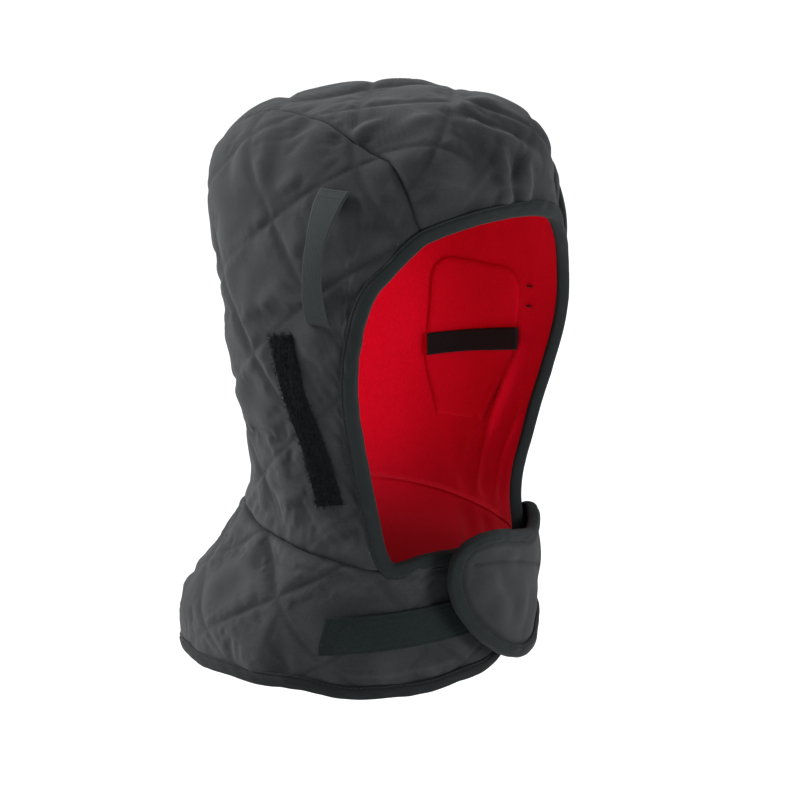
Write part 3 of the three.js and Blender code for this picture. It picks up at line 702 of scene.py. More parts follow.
def outer_faces(points, normals, flat):
    """The grid turned, where it has to be, so that its faces point along its normals."""
    if facing(points, normals) > 0:
        return points, flat
    return points[:, ::-1], flat[:, ::-1]


# Quilted shell

def seam_roll(gap):
    """The cloth's edge rolls down into a seam."""
    t = 1 - np.clip(gap / SEAM_ROLL, 0, 1)
    return -SEAM_DROP * (1 - np.sqrt(1 - t * t))


def pucker(along, gap, size, reach, seed):
    """Short wrinkles that run in from a sewn edge and die away."""
    line = np.stack([along, 0.25 * gap], axis=-1)
    return waves(line, size, seed) * np.exp(-gap / reach)


def lapped(points):
    """The rim carried on along the cloth, to meet its neighbour down in the seam."""
    moved = points.copy()
    for rim, inner in ((0, 1), (-1, -2)):
        moved[:, rim] -= SEAM_LAP * unit(points[:, inner] - points[:, rim])
    for rim, inner in ((0, 1), (-1, -2)):
        moved[rim] -= SEAM_LAP * unit(points[inner] - points[rim])
    return moved


def quilted(panel, quilting, seams, bound, held, folds, seed):
    """The outer face of a quilted panel. seams and bound name its rims, and held is 1 under a sewn tape."""
    gap = np.minimum(*[line_gap(panel.flat, family) for family in quilting])
    hold = np.maximum(held, np.exp(-(gap / STITCH_HOLD) ** 2))
    flatten = smoothstep(gap, 0, 5)
    height = folded(panel.flat, folds)
    open_cloth = 1
    for rim in bound:
        inset, along = panel.rims[rim]
        hold = np.maximum(hold, 1 - smoothstep(inset, BIND_WIDTH, BIND_WIDTH + 10))
        flatten = flatten * smoothstep(inset, BIND_WIDTH - 2, BIND_WIDTH + 8)
        puckered = EDGE_PUCKER * pucker(along, inset, 13, 16, seed + 1)
        height = (height + puckered) * smoothstep(inset, BIND_WIDTH - 3, BIND_WIDTH + 3)
        open_cloth = open_cloth * smoothstep(inset, 6, 34)
    for rim in seams:
        inset, along = panel.rims[rim]
        hold = np.maximum(hold, np.exp(-(inset / SEAM_HOLD) ** 2))
        flatten = flatten * smoothstep(inset, 0, 6)
        puckered = SEAM_PUCKER * pucker(along, inset, 17, 9, seed + 2)
        height = height + seam_roll(inset) * (0.3 + 0.7 * open_cloth)
        height = height + puckered * smoothstep(inset, 0, 5)
    puff = blown(panel, hold)
    height = height - STITCH_GROOVE * np.exp(-(gap / STITCH_GROOVE_WIDTH) ** 2)
    height = height + SHELL_SLACK * waves(panel.flat, 34, seed + 3) * smoothstep(gap, 0, 8)
    height = height - slump(panel.points)
    return lapped(panel.points + puff * flatten[..., None] + height[..., None] * panel.normals)


# Lining

def padding(gap):
    """The shell's thickness at a distance from a bound edge."""
    return EDGE_QUILT + (QUILT - EDGE_QUILT) * smoothstep(gap, 22, 40)


def lining_grid(panel, bound, seams, folds):
    """The middle of the lining under a panel."""
    gap = np.full(panel.along.shape, 1000.0)
    for rim in bound:
        gap = np.minimum(gap, panel.rims[rim][0])
    swell = folded(panel.flat, folds)
    for rim in seams:
        swell = swell * smoothstep(panel.rims[rim][0], 0, 12)
    swell = swell + LINING_SLACK * waves(panel.points, 45, 55)
    ply_gap = EDGE_PLY_GAP + (PLY_GAP - EDGE_PLY_GAP) * smoothstep(gap, 6, 26)
    depth = padding(gap) + ply_gap + FLEECE / 2 + slump(panel.points) + swell * smoothstep(gap, 3, 14)
    return panel.points - depth[..., None] * panel.normals


# Edge tape

def folded_tape(edge, inner, wall, normals, inner_normals, seed):
    """A tape folded over an edge: its outer leg, its nose and its back leg, as a grid with a row a station.

    wall is the thickness of what it wraps."""
    out = unit(edge - inner)
    length = run(edge, 0)
    top = BIND_GAP + BIND_WALL
    foot = -wall - BIND_BACK_GAP - BIND_WALL
    columns = []
    for reach in TAPE_REACH:
        t = reach / BIND_WIDTH
        swell = TAPE_SWELL * math.sin(math.pi * t) ** 0.7
        groove = TOPSTITCH_GROOVE * math.exp(-((reach - TOPSTITCH_IN) / 0.7) ** 2)
        turned = TURNED_DROP * max(0, 1 - reach / TURNED_EDGE)
        place = np.stack([length + 0.8 * reach, np.full_like(length, 0.5 * reach)], axis=-1)
        crumple = TAPE_CRUMPLE * waves(place, 12, seed) * math.sin(math.pi * min(t + 0.12, 1)) ** 0.5
        rise = top + swell - groove - turned + crumple
        normal = unit((1 - t) * inner_normals + t * normals)
        columns.append((1 - t) * inner + t * edge + rise[:, None] * normal)
    for turn in np.linspace(0, math.pi, 11)[1:-1]:
        height = (top + foot) / 2 + (top - foot) / 2 * math.cos(turn)
        reach = BIND_GAP + BIND_NOSE * math.sin(turn) + NOSE_CRUMPLE * waves(length[:, None], 16, seed + 1)
        columns.append(edge + reach[:, None] * out + height * normals)
    for t in np.linspace(1, 1 - BIND_BACK, 5):
        normal = unit((1 - t) * inner_normals + t * normals)
        columns.append((1 - t) * inner + t * edge + foot * normal)
    points = np.stack(columns, axis=1)
    flat = np.stack([np.broadcast_to(length[:, None], points.shape[:2]), run(points, 1)], axis=-1)
    return points, flat


def tape_faces(points, normals, flat):
    """The tape's grid with its faces pointing out."""
    return outer_faces(points, np.broadcast_to(normals[:, None], points.shape), flat)


def hood_edge_tape(edge, seed):
    """Edge tape along a line of the hood's skin that runs with the cloth on its left."""
    ahead = np.gradient(edge, axis=0)
    normals = outward(edge)
    inner = on_hood(edge + BIND_WIDTH * unit(np.cross(normals, ahead)))
    return skin_tape(edge, inner, seed)


def ring_edge_tape(angle, depth, inward, seed):
    """Edge tape along a level line of the cape."""
    return skin_tape(on_ring(angle, depth), on_ring(angle, depth + inward), seed)


def skin_tape(edge, inner, seed):
    """Edge tape between two lines of the skin, lowered where the cloth has slumped."""
    normals, inner_normals = outward(edge), outward(inner)
    wall = EDGE_QUILT + EDGE_PLY_GAP + FLEECE
    lowered = edge - slump(edge)[:, None] * normals
    inner_lowered = inner - slump(inner)[:, None] * inner_normals
    points, flat = folded_tape(lowered, inner_lowered, wall, normals, inner_normals, seed)
    return points, flat, normals


# Stitches

def point_at(reach, rows, distance):
    """The row of three values at a distance along a line."""
    return np.array([np.interp(distance, reach, rows[:, k]) for k in range(3)])


def stitched(name, lines, material, slot, length=2.3, pitch=3.2, width=0.42, sunk=0.0):
    """Thread stitches along lines of points and normals, as one mesh of small beads of thread."""
    bm = bmesh.new()
    bmesh.ops.create_uvsphere(bm, u_segments=5, v_segments=3, radius=0.5)
    bm.verts.index_update()
    bead = np.array([vert.co for vert in bm.verts])
    faces = [[vert.index for vert in face.verts] for face in bm.faces]
    bm.free()
    verts, all_faces = [], []
    for points, normals in lines:
        reach = run(points, 0)
        for start in np.arange(pitch / 2, reach[-1] - length, pitch):
            head, foot = point_at(reach, points, start), point_at(reach, points, start + length)
            up = unit(point_at(reach, normals, start))
            ahead = unit(foot - head)
            aside = unit(np.cross(up, ahead))
            axes = np.array([aside * width, np.cross(ahead, aside) * width, ahead * length])
            first = len(verts) * len(bead)
            verts.append((head + foot) / 2 - sunk * up + bead @ axes)
            all_faces.extend([first + index for index in face] for face in faces)
    mesh = bpy.data.meshes.new(name)
    mesh.from_pydata(np.concatenate(verts) * MM, [], all_faces)
    mesh.polygons.foreach_set("use_smooth", np.ones(len(mesh.polygons), bool))
    return piece(name, mesh, material, slot)


def fibres(points, normals, count, seed):
    """Short stray fibres over a grid, each a line of two points that leans its own way."""
    draw = np.random.default_rng(seed)
    rows = draw.integers(0, points.shape[0], count)
    columns = draw.integers(0, points.shape[1], count)
    lean = draw.normal(size=(count, 3))
    lines = []
    for spot, out, way in zip(points[rows, columns], normals[rows, columns], lean):
        aside = way - 0.7 * (way @ out) * out
        lines.append((np.stack([spot, spot + FIBRE * unit(aside)]) + 0.2 * out, np.stack([out, out])))
    return lines


def stitch_lines(points, normals, flat, quilting):
    """The stitch lines of a panel's quilting, followed across its grid."""
    lines = []
    for turn, pitch, start in quilting:
        level = across_lines(flat, turn, start) / pitch
        for number in range(math.ceil(level.min()), math.floor(level.max()) + 1):
            before, after = level[:, :-1] - number, level[:, 1:] - number
            rows, columns = np.nonzero(before * after < 0)
            if len(rows) < 12:
                continue
            t = (before / (before - after))[rows, columns][:, None]
            line = (1 - t) * points[rows, columns] + t * points[rows, columns + 1]
            breaks = np.nonzero(np.linalg.norm(np.diff(line, axis=0), axis=1) > 6)[0] + 1
            facing_out = normals[rows, columns]
            for stretch, out in zip(np.split(line, breaks), np.split(facing_out, breaks)):
                if len(stretch) > 8:
                    lines.append((stretch, out))
    return lines


# Tapes, webbing and pockets

def places_along(size, step, rim=(0, 0.2, 0.5, 0.9)):
    """Distances over a size, close together at both ends so that an edge can be rounded."""
    inner = np.linspace(rim[-1], size - rim[-1], max(int(size / step), 2) + 1)
    return np.concatenate([rim[:-1], inner, size - np.array(rim[:-1])[::-1]])


def strip_grid(length, width, step):
    """Distances along and across a strip, and how far each place lies in from its rim."""
    along, across = np.meshgrid(places_along(length, step), places_along(width, step), indexing="ij")
    inset = np.minimum(np.minimum(along, length - along), np.minimum(across, width - across))
    return along, across - width / 2, inset


def edge_round(inset, radius):
    """0 at a strip's rim and 1 further in, as a quarter round."""
    t = 1 - np.clip(inset / radius, 0, 1)
    return np.sqrt(1 - t * t)


def side_strip(strip, side, step):
    """Places, outward directions, distances and inset of a strip on one side of the hood."""
    y, depth, to_y, to_depth, width = strip
    way = np.array([to_y - y, to_depth - depth], float)
    length = np.linalg.norm(way)
    way /= length
    along, across, inset = strip_grid(length, width, step)
    points = on_side(side, y + along * way[0] - across * way[1], depth + along * way[1] + across * way[0])
    return points, outward(points), along, across, inset


def strip_piece(name, node, points, normals, along, across, cloth, slot, wall, offset=-1):
    """A strip's piece, from the grid of its outer face."""
    mesh = grid_mesh(name, [outer_faces(points, normals, np.stack([along, across], axis=-1))])
    return thicken(piece(name, mesh, cloth, slot, node), wall, offset)


# Materials

def add(tree, kind, inputs=(), **settings):
    """A node with its settings and its inputs, each a value or the socket that feeds it."""
    made = tree.nodes.new(kind)
    for key, value in settings.items():
        setattr(made, key, value)
    for key, value in dict(inputs).items():
        if isinstance(value, bpy.types.NodeSocket):
            tree.links.new(value, made.inputs[key])
        else:
            made.inputs[key].default_value = value
    return made


def math_node(tree, operation, *values):
    return add(tree, "ShaderNodeMath", enumerate(values), operation=operation).outputs[0]


def mixed(tree, share, first, second):
    """A colour between two, each a colour or the socket that feeds it."""
    return add(tree, "ShaderNodeMix", {0: share, 6: first, 7: second}, data_type="RGBA").outputs[2]


def new_group(name, inputs, outputs):
    """A node group with number sockets: inputs by name with their values, and the names of its outputs."""
    group = bpy.data.node_groups.new(name, "ShaderNodeTree")
    number = "NodeSocketFloat"
    for label, value in inputs.items():
        group.interface.new_socket(label, in_out="INPUT", socket_type=number).default_value = value
    for label in outputs:
        group.interface.new_socket(label, in_out="OUTPUT", socket_type=number)
    return group, group.nodes.new("NodeGroupInput").outputs, group.nodes.new("NodeGroupOutput")


def noise(tree, place, scale, detail, roughness=0.5):
    settings = {"Vector": place, "Scale": scale, "Detail": detail, "Roughness": roughness}
    return add(tree, "ShaderNodeTexNoise", settings).outputs[0]


def weave_group():
    """Crossed threads on the flat cloth: ribs along a slant with a finer thread across them."""
    group, given, out = new_group("woven threads", {"Ribs": 1000, "Slant": 1, "Cross": 0.4}, ["Height"])
    laid = add(group, "ShaderNodeUVMap", uv_map="flat").outputs[0]
    flat = add(group, "ShaderNodeSeparateXYZ", {0: laid}).outputs
    place = add(group, "ShaderNodeTexCoord").outputs["Object"]
    slip = noise(group, place, 900, 2)
    slanted = math_node(group, "MULTIPLY_ADD", flat[0], given["Slant"], flat[1])
    turns = math_node(group, "MULTIPLY", math_node(group, "MULTIPLY", slanted, given["Ribs"]), 2 * math.pi)
    rib = math_node(group, "SINE", math_node(group, "MULTIPLY_ADD", slip, 1.6, turns))
    across = math_node(group, "MULTIPLY", flat[0], given["Ribs"])
    fine = math_node(group, "SINE", math_node(group, "MULTIPLY", across, 4 * math.pi))
    cross = math_node(group, "MULTIPLY", fine, given["Cross"])
    total = math_node(group, "ADD", rib, cross)
    group.links.new(total, out.inputs["Height"])
    return group


def mottle_group():
    """Slow fading of a dyed cloth, with small slubs and specks of lint."""
    group, given, out = new_group("dyed cloth", {"Fade": 0.5, "Slub": 0.3, "Lint": 0.0},
                                  ["Tone", "Lint", "Crinkle"])
    place = add(group, "ShaderNodeTexCoord").outputs["Object"]
    slow = noise(group, place, 22, 5, 0.55)
    fine = noise(group, place, 700, 3)
    fade = math_node(group, "MULTIPLY", math_node(group, "SUBTRACT", slow, 0.5), given["Fade"])
    slub = math_node(group, "MULTIPLY", math_node(group, "SUBTRACT", fine, 0.5), given["Slub"])
    tone = math_node(group, "ADD", math_node(group, "ADD", fade, slub), 0.5)
    group.links.new(tone, out.inputs["Tone"])
    group.links.new(noise(group, place, 45, 3), out.inputs["Crinkle"])
    cells = add(group, "ShaderNodeTexVoronoi", {"Vector": place, "Scale": 70}).outputs["Distance"]
    speck = add(group, "ShaderNodeMapRange", {0: cells, 1: 0.015, 2: 0.035, 3: 1.0, 4: 0.0}).outputs[0]
    group.links.new(math_node(group, "MULTIPLY", speck, given["Lint"]), out.inputs["Lint"])
    return group


weave, mottle = weave_group(), mottle_group()


GREY = (0.62, 0.64, 0.66)
LINT = (0.15, 0.15, 0.15, 1)


def cloth_shader(name, roughness, gloss, sheen, sheen_roughness, sheen_tint):
    """A new material, with its node tree and its shader set for cloth."""
    material = bpy.data.materials.new(name)
    material.use_nodes = True
    shader = material.node_tree.nodes["Principled BSDF"]
    shader.inputs["Roughness"].default_value = roughness
    shader.inputs["Specular IOR Level"].default_value = gloss
    shader.inputs["Sheen Weight"].default_value = sheen
    shader.inputs["Sheen Roughness"].default_value = sheen_roughness
    shader.inputs["Sheen Tint"].default_value = (*sheen_tint, 1)
    return material, material.node_tree, shader


def woven(name, dark, light, roughness=0.85, sheen=0.03, ribs=1300, slant=0.0, cross=0.6, depth=0.09,
          crinkle=0.2, fade=0.5, slub=0.4, lint=0.0, worn_and_shaded=False):
    """A dyed woven cloth: its colour runs from dark to light. Its threads and crinkles have a depth in mm."""
    material, tree, shader = cloth_shader(name, roughness, 0.2, sheen, 0.45, GREY)
    cloth = add(tree, "ShaderNodeGroup", node_tree=mottle)
    for label, value in (("Fade", fade), ("Slub", slub), ("Lint", lint)):
        cloth.inputs[label].default_value = value
    tone = cloth.outputs["Tone"]
    # Ridges lighter and hollows darker: partly wear, partly painted shade in the stitch valleys and painted
    # highlight on the puffs.
    if worn_and_shaded:
        wear_and_shade = add(tree, "ShaderNodeAttribute", attribute_name="wear_and_shade").outputs["Fac"]
        tone = math_node(tree, "ADD", tone, math_node(tree, "SUBTRACT", wear_and_shade, 0.5))
    threads = add(tree, "ShaderNodeGroup", node_tree=weave)
    for label, value in (("Ribs", ribs), ("Slant", slant), ("Cross", cross)):
        threads.inputs[label].default_value = value
    tone = math_node(tree, "MULTIPLY_ADD", threads.outputs["Height"], 0.08, tone)
    colour = mixed(tree, tone, (*dark, 1), (*light, 1))
    tree.links.new(mixed(tree, cloth.outputs["Lint"], colour, LINT), shader.inputs["Base Color"])
    creases = math_node(tree, "MULTIPLY", cloth.outputs["Crinkle"], crinkle)
    height = math_node(tree, "MULTIPLY_ADD", threads.outputs["Height"], depth, creases)
    bump = add(tree, "ShaderNodeBump", {"Height": height, "Strength": 0.7, "Distance": MM})
    tree.links.new(bump.outputs[0], shader.inputs["Normal"])
    return material


def napped(name, dark, light, sheen, sheen_tint, scale, depth, fade, low=None):
    """A napped or looped surface: soft lumps, darker between them. low is a darker colour painted towards the
    hem, as painted shade.
    """
    material, tree, shader = cloth_shader(name, 0.95, 0.04, sheen, 0.5, sheen_tint)
    place = add(tree, "ShaderNodeTexCoord").outputs["Object"]
    lumps = noise(tree, place, scale, 4, 0.65)
    cloth = add(tree, "ShaderNodeGroup", {"Fade": fade, "Slub": 0.2}, node_tree=mottle)
    tone = math_node(tree, "ADD", cloth.outputs["Tone"], math_node(tree, "SUBTRACT", lumps, 0.5))
    colour = mixed(tree, tone, (*dark, 1), (*light, 1))
    # Painted shade: the colour darkens to low between two heights, towards the hem.
    if low:
        height = add(tree, "ShaderNodeSeparateXYZ", {"Vector": place}).outputs["Z"]
        foot = {0: height, 1: PAINTED_SHADE_FROM * MM, 2: PAINTED_SHADE_TO * MM}
        drop = add(tree, "ShaderNodeMapRange", foot, interpolation_type="SMOOTHSTEP").outputs[0]
        colour = mixed(tree, drop, colour, (*low, 1))
    tree.links.new(colour, shader.inputs["Base Color"])
    bump = add(tree, "ShaderNodeBump", {"Height": lumps, "Strength": 0.7, "Distance": depth * MM})
    tree.links.new(bump.outputs[0], shader.inputs["Normal"])
    return material


# The twill's ridges are lightened and hollows darkened: partly wear, partly painted shade and highlight.
twill = woven("charcoal twill", (0.0064, 0.0083, 0.0098), (0.0305, 0.0328, 0.035), roughness=0.92, sheen=0.10,
              ribs=1150, slant=1.0, cross=0.3, crinkle=0.35, fade=0.7, slub=0.5, lint=0.35, worn_and_shaded=True)
edging = woven("edge tape", (0.0045, 0.0065, 0.007), (0.012, 0.0155, 0.0165), crinkle=0.5, fade=0.6,
               lint=0.15)
# Painted shade: a darker copy of the edge tape, for the shade on the downward-facing hem.
shaded_hem_edging = woven("hem tape in painted shade", (0.0024, 0.0036, 0.004), (0.0066, 0.0088, 0.0094), crinkle=0.5, fade=0.6,
                   lint=0.15)
webbing = woven("webbing", (0.011, 0.0135, 0.0148), (0.032, 0.037, 0.0395), ribs=1000, cross=0.7, depth=0.07,
                lint=0.1)
pocket_tape = woven("pocket tape", (0.003, 0.0034, 0.004), (0.006, 0.0066, 0.007), roughness=0.75, sheen=0.05,
                    ribs=900, cross=0.8, depth=0.08, fade=0.4, slub=0.3)
thread = woven("sewing thread", (0.010, 0.012, 0.013), (0.028, 0.031, 0.033), roughness=0.7, sheen=0.1,
               ribs=2500, slant=1.0, cross=0.3, depth=0.05, crinkle=0.0, fade=0.4)
dark_red = woven("dark red thread", (0.05, 0.001, 0.003), (0.10, 0.002, 0.005), roughness=0.8, sheen=0.1,
                 ribs=2500, slant=1.0, cross=0.3, depth=0.05, crinkle=0.0, fade=0.4)
# The fleece's low colour is painted shade in the lower lining, darker towards the hem.
fleece = napped("red fleece", (0.47, 0.0010, 0.008), (0.72, 0.003, 0.022), 0.06, (1.0, 0.25, 0.3),
                900, 0.25, 0.5, low=(0.13, 0.0004, 0.002))
pile = napped("loop pile", (0.002, 0.0027, 0.003), (0.007, 0.009, 0.010), 0.03, GREY, 1400, 0.5, 0.6)
chin_pile = napped("flat loop tape", (0.005, 0.007, 0.0075), (0.016, 0.021, 0.022), 0.06, GREY, 800, 0.7, 0.7)

# Quilted shell

right_panel = side_panel(-1, SIDE_ACROSS, SIDE_DOWN)
left_panel = side_panel(1, SIDE_ACROSS, SIDE_DOWN)
crown = crown_panel(CROWN_ACROSS, SIDE_ACROSS, SIDE_DOWN)
cape = cape_panel(CAPE_ROUND, CAPE_DOWN)
quilt_stitches = []


def by_depth(flat):
    """Flat places with their depth counted down."""
    return flat * [1, -1]


def quilted_piece(name, node, panel, quilting, seams, bound, held, folds, seed):
    """A quilted panel's piece. Its stitch lines are kept for the stitching."""
    points = quilted(panel, quilting, seams, bound, held, folds, seed)
    height = ((points - panel.points) * panel.normals).sum(-1)
    mesh = ridged_mesh(name, points, panel.normals, panel.flat, height)
    made = piece(name, mesh, twill, "shell", node)
    thicken(made, SHELL_WALL, -1)
    quilt_stitches.extend(stitch_lines(points, panel.normals, panel.flat, quilting))


for side_name, panel, folds, seed in (
        ("right", right_panel, RIGHT_FOLDS, 10), ("left", left_panel, LEFT_FOLDS, 20)):
    places = by_depth(panel.flat)
    sewn = 1 - away_from_tape(places, MASK_STRIP) * away_from_tape(places, HELMET_LOOP)
    quilted_piece("side_quilt_" + side_name, "side_panel_" + side_name, panel, SIDE_QUILT,
                  ("top", "right", "bottom"), ("left",), sewn, folds, seed)

quilted_piece("crown_quilt", "crown_panel", crown, CROWN_QUILT, ("left", "right", "bottom"), ("top",),
              np.zeros(crown.along.shape), CROWN_FOLDS, 30)

angle, depth, to_angle, to_depth = CHIN_STRIP[:4]
before, past, width = CHIN_STRIP_HOLD
strip_on_cape = (CAPE_ARC * (angle - before), depth, CAPE_ARC * (to_angle + past), to_depth, width)
turn, depth, to_depth, width = TAB_HOLD
tab_at = CAPE_ARC * (TAB_END - turn - 360)
tab_on_cape = (tab_at, depth, tab_at, to_depth, width)
places = by_depth(cape.flat)
sewn = 1 - away_from_tape(places, strip_on_cape) * away_from_tape(places, tab_on_cape)
quilted_piece("cape_quilt", "cape", cape, CAPE_QUILT, ("top",), ("left", "bottom", "right"), sewn,
              CAPE_FOLDS, 40)
stitched("quilt_stitching", quilt_stitches, thread, "shell", sunk=0.1)

# Lining

lining_grids = []
for side in (-1, 1):
    panel = side_panel(side, LINING_ACROSS, LINING_DOWN)
    points = lining_grid(panel, ("left",), ("top", "right", "bottom"), LINING_FOLDS)
    lining_grids.append((points, panel.flat))
panel = crown_panel(LINING_CROWN, LINING_ACROSS, LINING_DOWN)
lining_grids.append((lining_grid(panel, ("top",), ("left", "right", "bottom"), []), panel.flat))
hood_lining = piece("hood_fleece", grid_mesh("hood_fleece", lining_grids), fleece, "lining", "hood_lining")
thicken(hood_lining, FLEECE, 0)

panel = cape_panel(LINING_ROUND, LINING_DROP)
points = lining_grid(panel, ("left", "bottom", "right"), ("top",), CAPE_LINING_FOLDS)
mesh = grid_mesh("cape_fleece", [(points, panel.flat)])
cape_lining = piece("cape_fleece", mesh, fleece, "lining", "cape_lining")
thicken(cape_lining, FLEECE, 0)

# Edge tapes

chin_angle = np.linspace(CAPE_FREE_END, -CHIN_CORNER, CHIN_LINE_POINTS)
chin_line = on_ring(chin_angle, neck_depth(chin_angle))
right_face = face_line(-1, FACE_SIDE_STEPS)[::-1]
left_face = face_line(1, FACE_SIDE_STEPS)
face_edge = np.concatenate([chin_line[:-1], right_face[:-1], brow_line(BROW_STEPS), left_face[1:]])
face_edge = evenly(face_edge, FACE_TAPE_STEPS)
for _ in range(FACE_SMOOTHING):
    face_edge[1:-1] = (face_edge[:-2] + 2 * face_edge[1:-1] + face_edge[2:]) / 4
hem_angle = np.linspace(CAPE_FREE_END, CAPE_LEFT_END - 360, HEM_TAPE_POINTS)
tape_lines = []
face_tape = hood_edge_tape(on_hood(face_edge), 60)
hem_tape = ring_edge_tape(hem_angle, hem_depth(hem_angle), -BIND_WIDTH, 64)
# The hem tape takes the darker copy of the edge tape, as painted shade.
for name, node, cloth, (points, flat, normals) in (
        ("face_tape", "face_binding", edging, face_tape), ("hem_tape", "hem_binding", shaded_hem_edging, hem_tape)):
    mesh = grid_mesh(name, [tape_faces(points, normals, flat)])
    thicken(piece(name, mesh, cloth, "binding", node), BIND_WALL, -1)
    tape_lines.append((points[:, TOPSTITCH_COLUMN], normals))

# Chin tab

def smooth_line(rows, steps):
    """Evenly spaced points along a smooth line through the rows of a table."""
    knots = np.array(rows, float)
    length = run(knots, 0)
    return evenly(curve_through(np.column_stack([length, knots]))(np.linspace(0, length[-1], 800)), steps)


def nearest_gap(places, line):
    """Distance of each place from the nearest point of a line."""
    return np.sqrt(((places[..., None, :] - line) ** 2).sum(-1)).min(-1)


tab_rim = smooth_line(TAB_EDGE, TAB_TAPE_STEPS)
tab_tip = int(tab_rim[:, 0].argmax())


def tab_skin(plan):
    """Points and outward directions of the tab's outer face, by the distance along it and the depth."""
    along = plan[..., 0] / TAB_LENGTH
    base = on_ring(TAB_END + (TAB_TIP - TAB_END) * along, plan[..., 1])
    normals = outward(base)
    lift = TAB_OVERLAP * smoothstep(along, 0, 0.13) + TAB_LIFT * smoothstep(along, 0.4, 1)
    rise = TAB_WALL + TAB_GAP + lift - slump(base)
    return base + rise[..., None] * normals, normals


tab_top = evenly(tab_rim[:tab_tip + 1], TAB_ALONG)
tab_bottom = evenly(tab_rim[tab_tip:][::-1], TAB_ALONG)
v = np.linspace(0, 1, TAB_DOWN + 1)[:, None, None]
tab_plan = (1 - v) * tab_top + v * tab_bottom
tab_points, tab_normals = tab_skin(tab_plan)
tab_inset = nearest_gap(tab_plan, tab_rim[::4])
tab_seam = smooth_line(TAB_SEAM, TAB_SEAM_STEPS)
seam_gap = nearest_gap(tab_plan, tab_seam)
tab_height = TAB_PUFF * smoothstep(tab_inset, TAB_BIND - 1, 20)
tab_height = tab_height - TAB_SEAM_GROOVE * np.exp(-(seam_gap / 1.3) ** 2)
tab_height = tab_height - TAB_EDGE_GROOVE * np.exp(-((tab_inset - TAB_BIND - 0.6) / 1.2) ** 2)
tab_height = tab_height + TAB_SLACK * waves(tab_plan, 24, 70) * smoothstep(tab_inset, 6, 14)
tab_height = tab_height + folded(tab_plan, TAB_FOLDS)
tab_face = tab_points + tab_height[..., None] * tab_normals
mesh = ridged_mesh("chin_tab_pad", tab_face, tab_normals, tab_plan, tab_height)
chin_tab = piece("chin_tab_pad", mesh, twill, "shell", "chin_tab")
thicken(chin_tab, TAB_WALL - 0.6, -1)

tab_ahead = np.gradient(tab_rim, axis=0)
tab_inner = tab_rim + TAB_BIND * unit(np.stack([-tab_ahead[:, 1], tab_ahead[:, 0]], axis=-1))
edge, normals = tab_skin(tab_rim)
inner, inner_normals = tab_skin(tab_inner)
points, flat = folded_tape(edge, inner, TAB_WALL, normals, inner_normals, 72)
mesh = grid_mesh("tab_tape", [tape_faces(points, normals, flat)])
thicken(piece("tab_tape", mesh, edging, "binding", "tab_binding"), BIND_WALL, -1)
tape_lines.append((points[:, TOPSTITCH_COLUMN], normals))
seam_line, seam_normals = tab_skin(tab_seam)
stitched("tape_stitching", tape_lines, thread, "binding", sunk=0.05)
stitched("tab_stitching", [(seam_line + 0.7 * seam_normals, seam_normals)], thread, "shell")

patch_from, patch_to, patch_top, patch_foot = TAB_PATCH_BOX
along, across, inset = strip_grid(patch_to - patch_from, patch_foot - patch_top, 1.0)
plan = np.stack([patch_from + along, (patch_top + patch_foot) / 2 + across], axis=-1)
points, normals = tab_skin(plan)
depth = TAB_WALL + TAPE_GAP + TAPE * edge_round(inset, 0.9)
points = points - depth[..., None] * normals
strip_piece("tab_hook", "tab_patch", points, -normals, along, across, pile, "loop_tape", 0.6)

# Tapes, loops and pockets on the sides

loop_lines, tack_lines, strip_fibres = [], [], []


def mask_tape(side, side_name):
    """Loop tape on a cheek, with a fuzzy face."""
    points, normals, along, across, inset = side_strip(MASK_STRIP, side, 0.8)
    fuzz = MASK_FUZZ * waves(points, 1.7, 80) * smoothstep(inset, 0.4, 2)
    rise = TAPE_GAP + TAPE * edge_round(inset, 0.9) + fuzz - slump(points)
    points = points + rise[..., None] * normals
    strip_fibres.extend(fibres(points, normals, MASK_FIBRES, 90 + side))
    strip_piece("mask_tape_" + side_name, "mask_strip_" + side_name, points, normals, along, across,
                pile, "loop_tape", 0.7)


def loop_webbing(side, side_name):
    """A webbing loop that stands off the hood between its sewn ends, and is narrower on its way."""
    points, normals, along, across, inset = side_strip(HELMET_LOOP, side, 1.2)
    t = along / along[-1, 0]
    lift = LOOP_LIFT * np.sin(np.pi * t) ** 0.8
    rise = LOOP_GAP + LOOP_WALL * edge_round(inset, 0.5) + lift - slump(points)
    width = 1.25 - 0.42 * smoothstep(t, 0, 0.45) + 0.2 * smoothstep(t, 0.6, 1)
    half = points.shape[1] // 2
    middle, out = points[:, half:half + 1], normals[:, half:half + 1]
    points = middle + width[..., None] * (points - middle) + rise[..., None] * out
    strip_piece("loop_webbing_" + side_name, "helmet_loop_" + side_name, points, normals, along, across,
                webbing, "webbing", LOOP_WALL - 0.3)
    for row in LOOP_STITCH_ROWS:
        loop_lines.append((points[row, 2:-2], normals[row, 2:-2]))


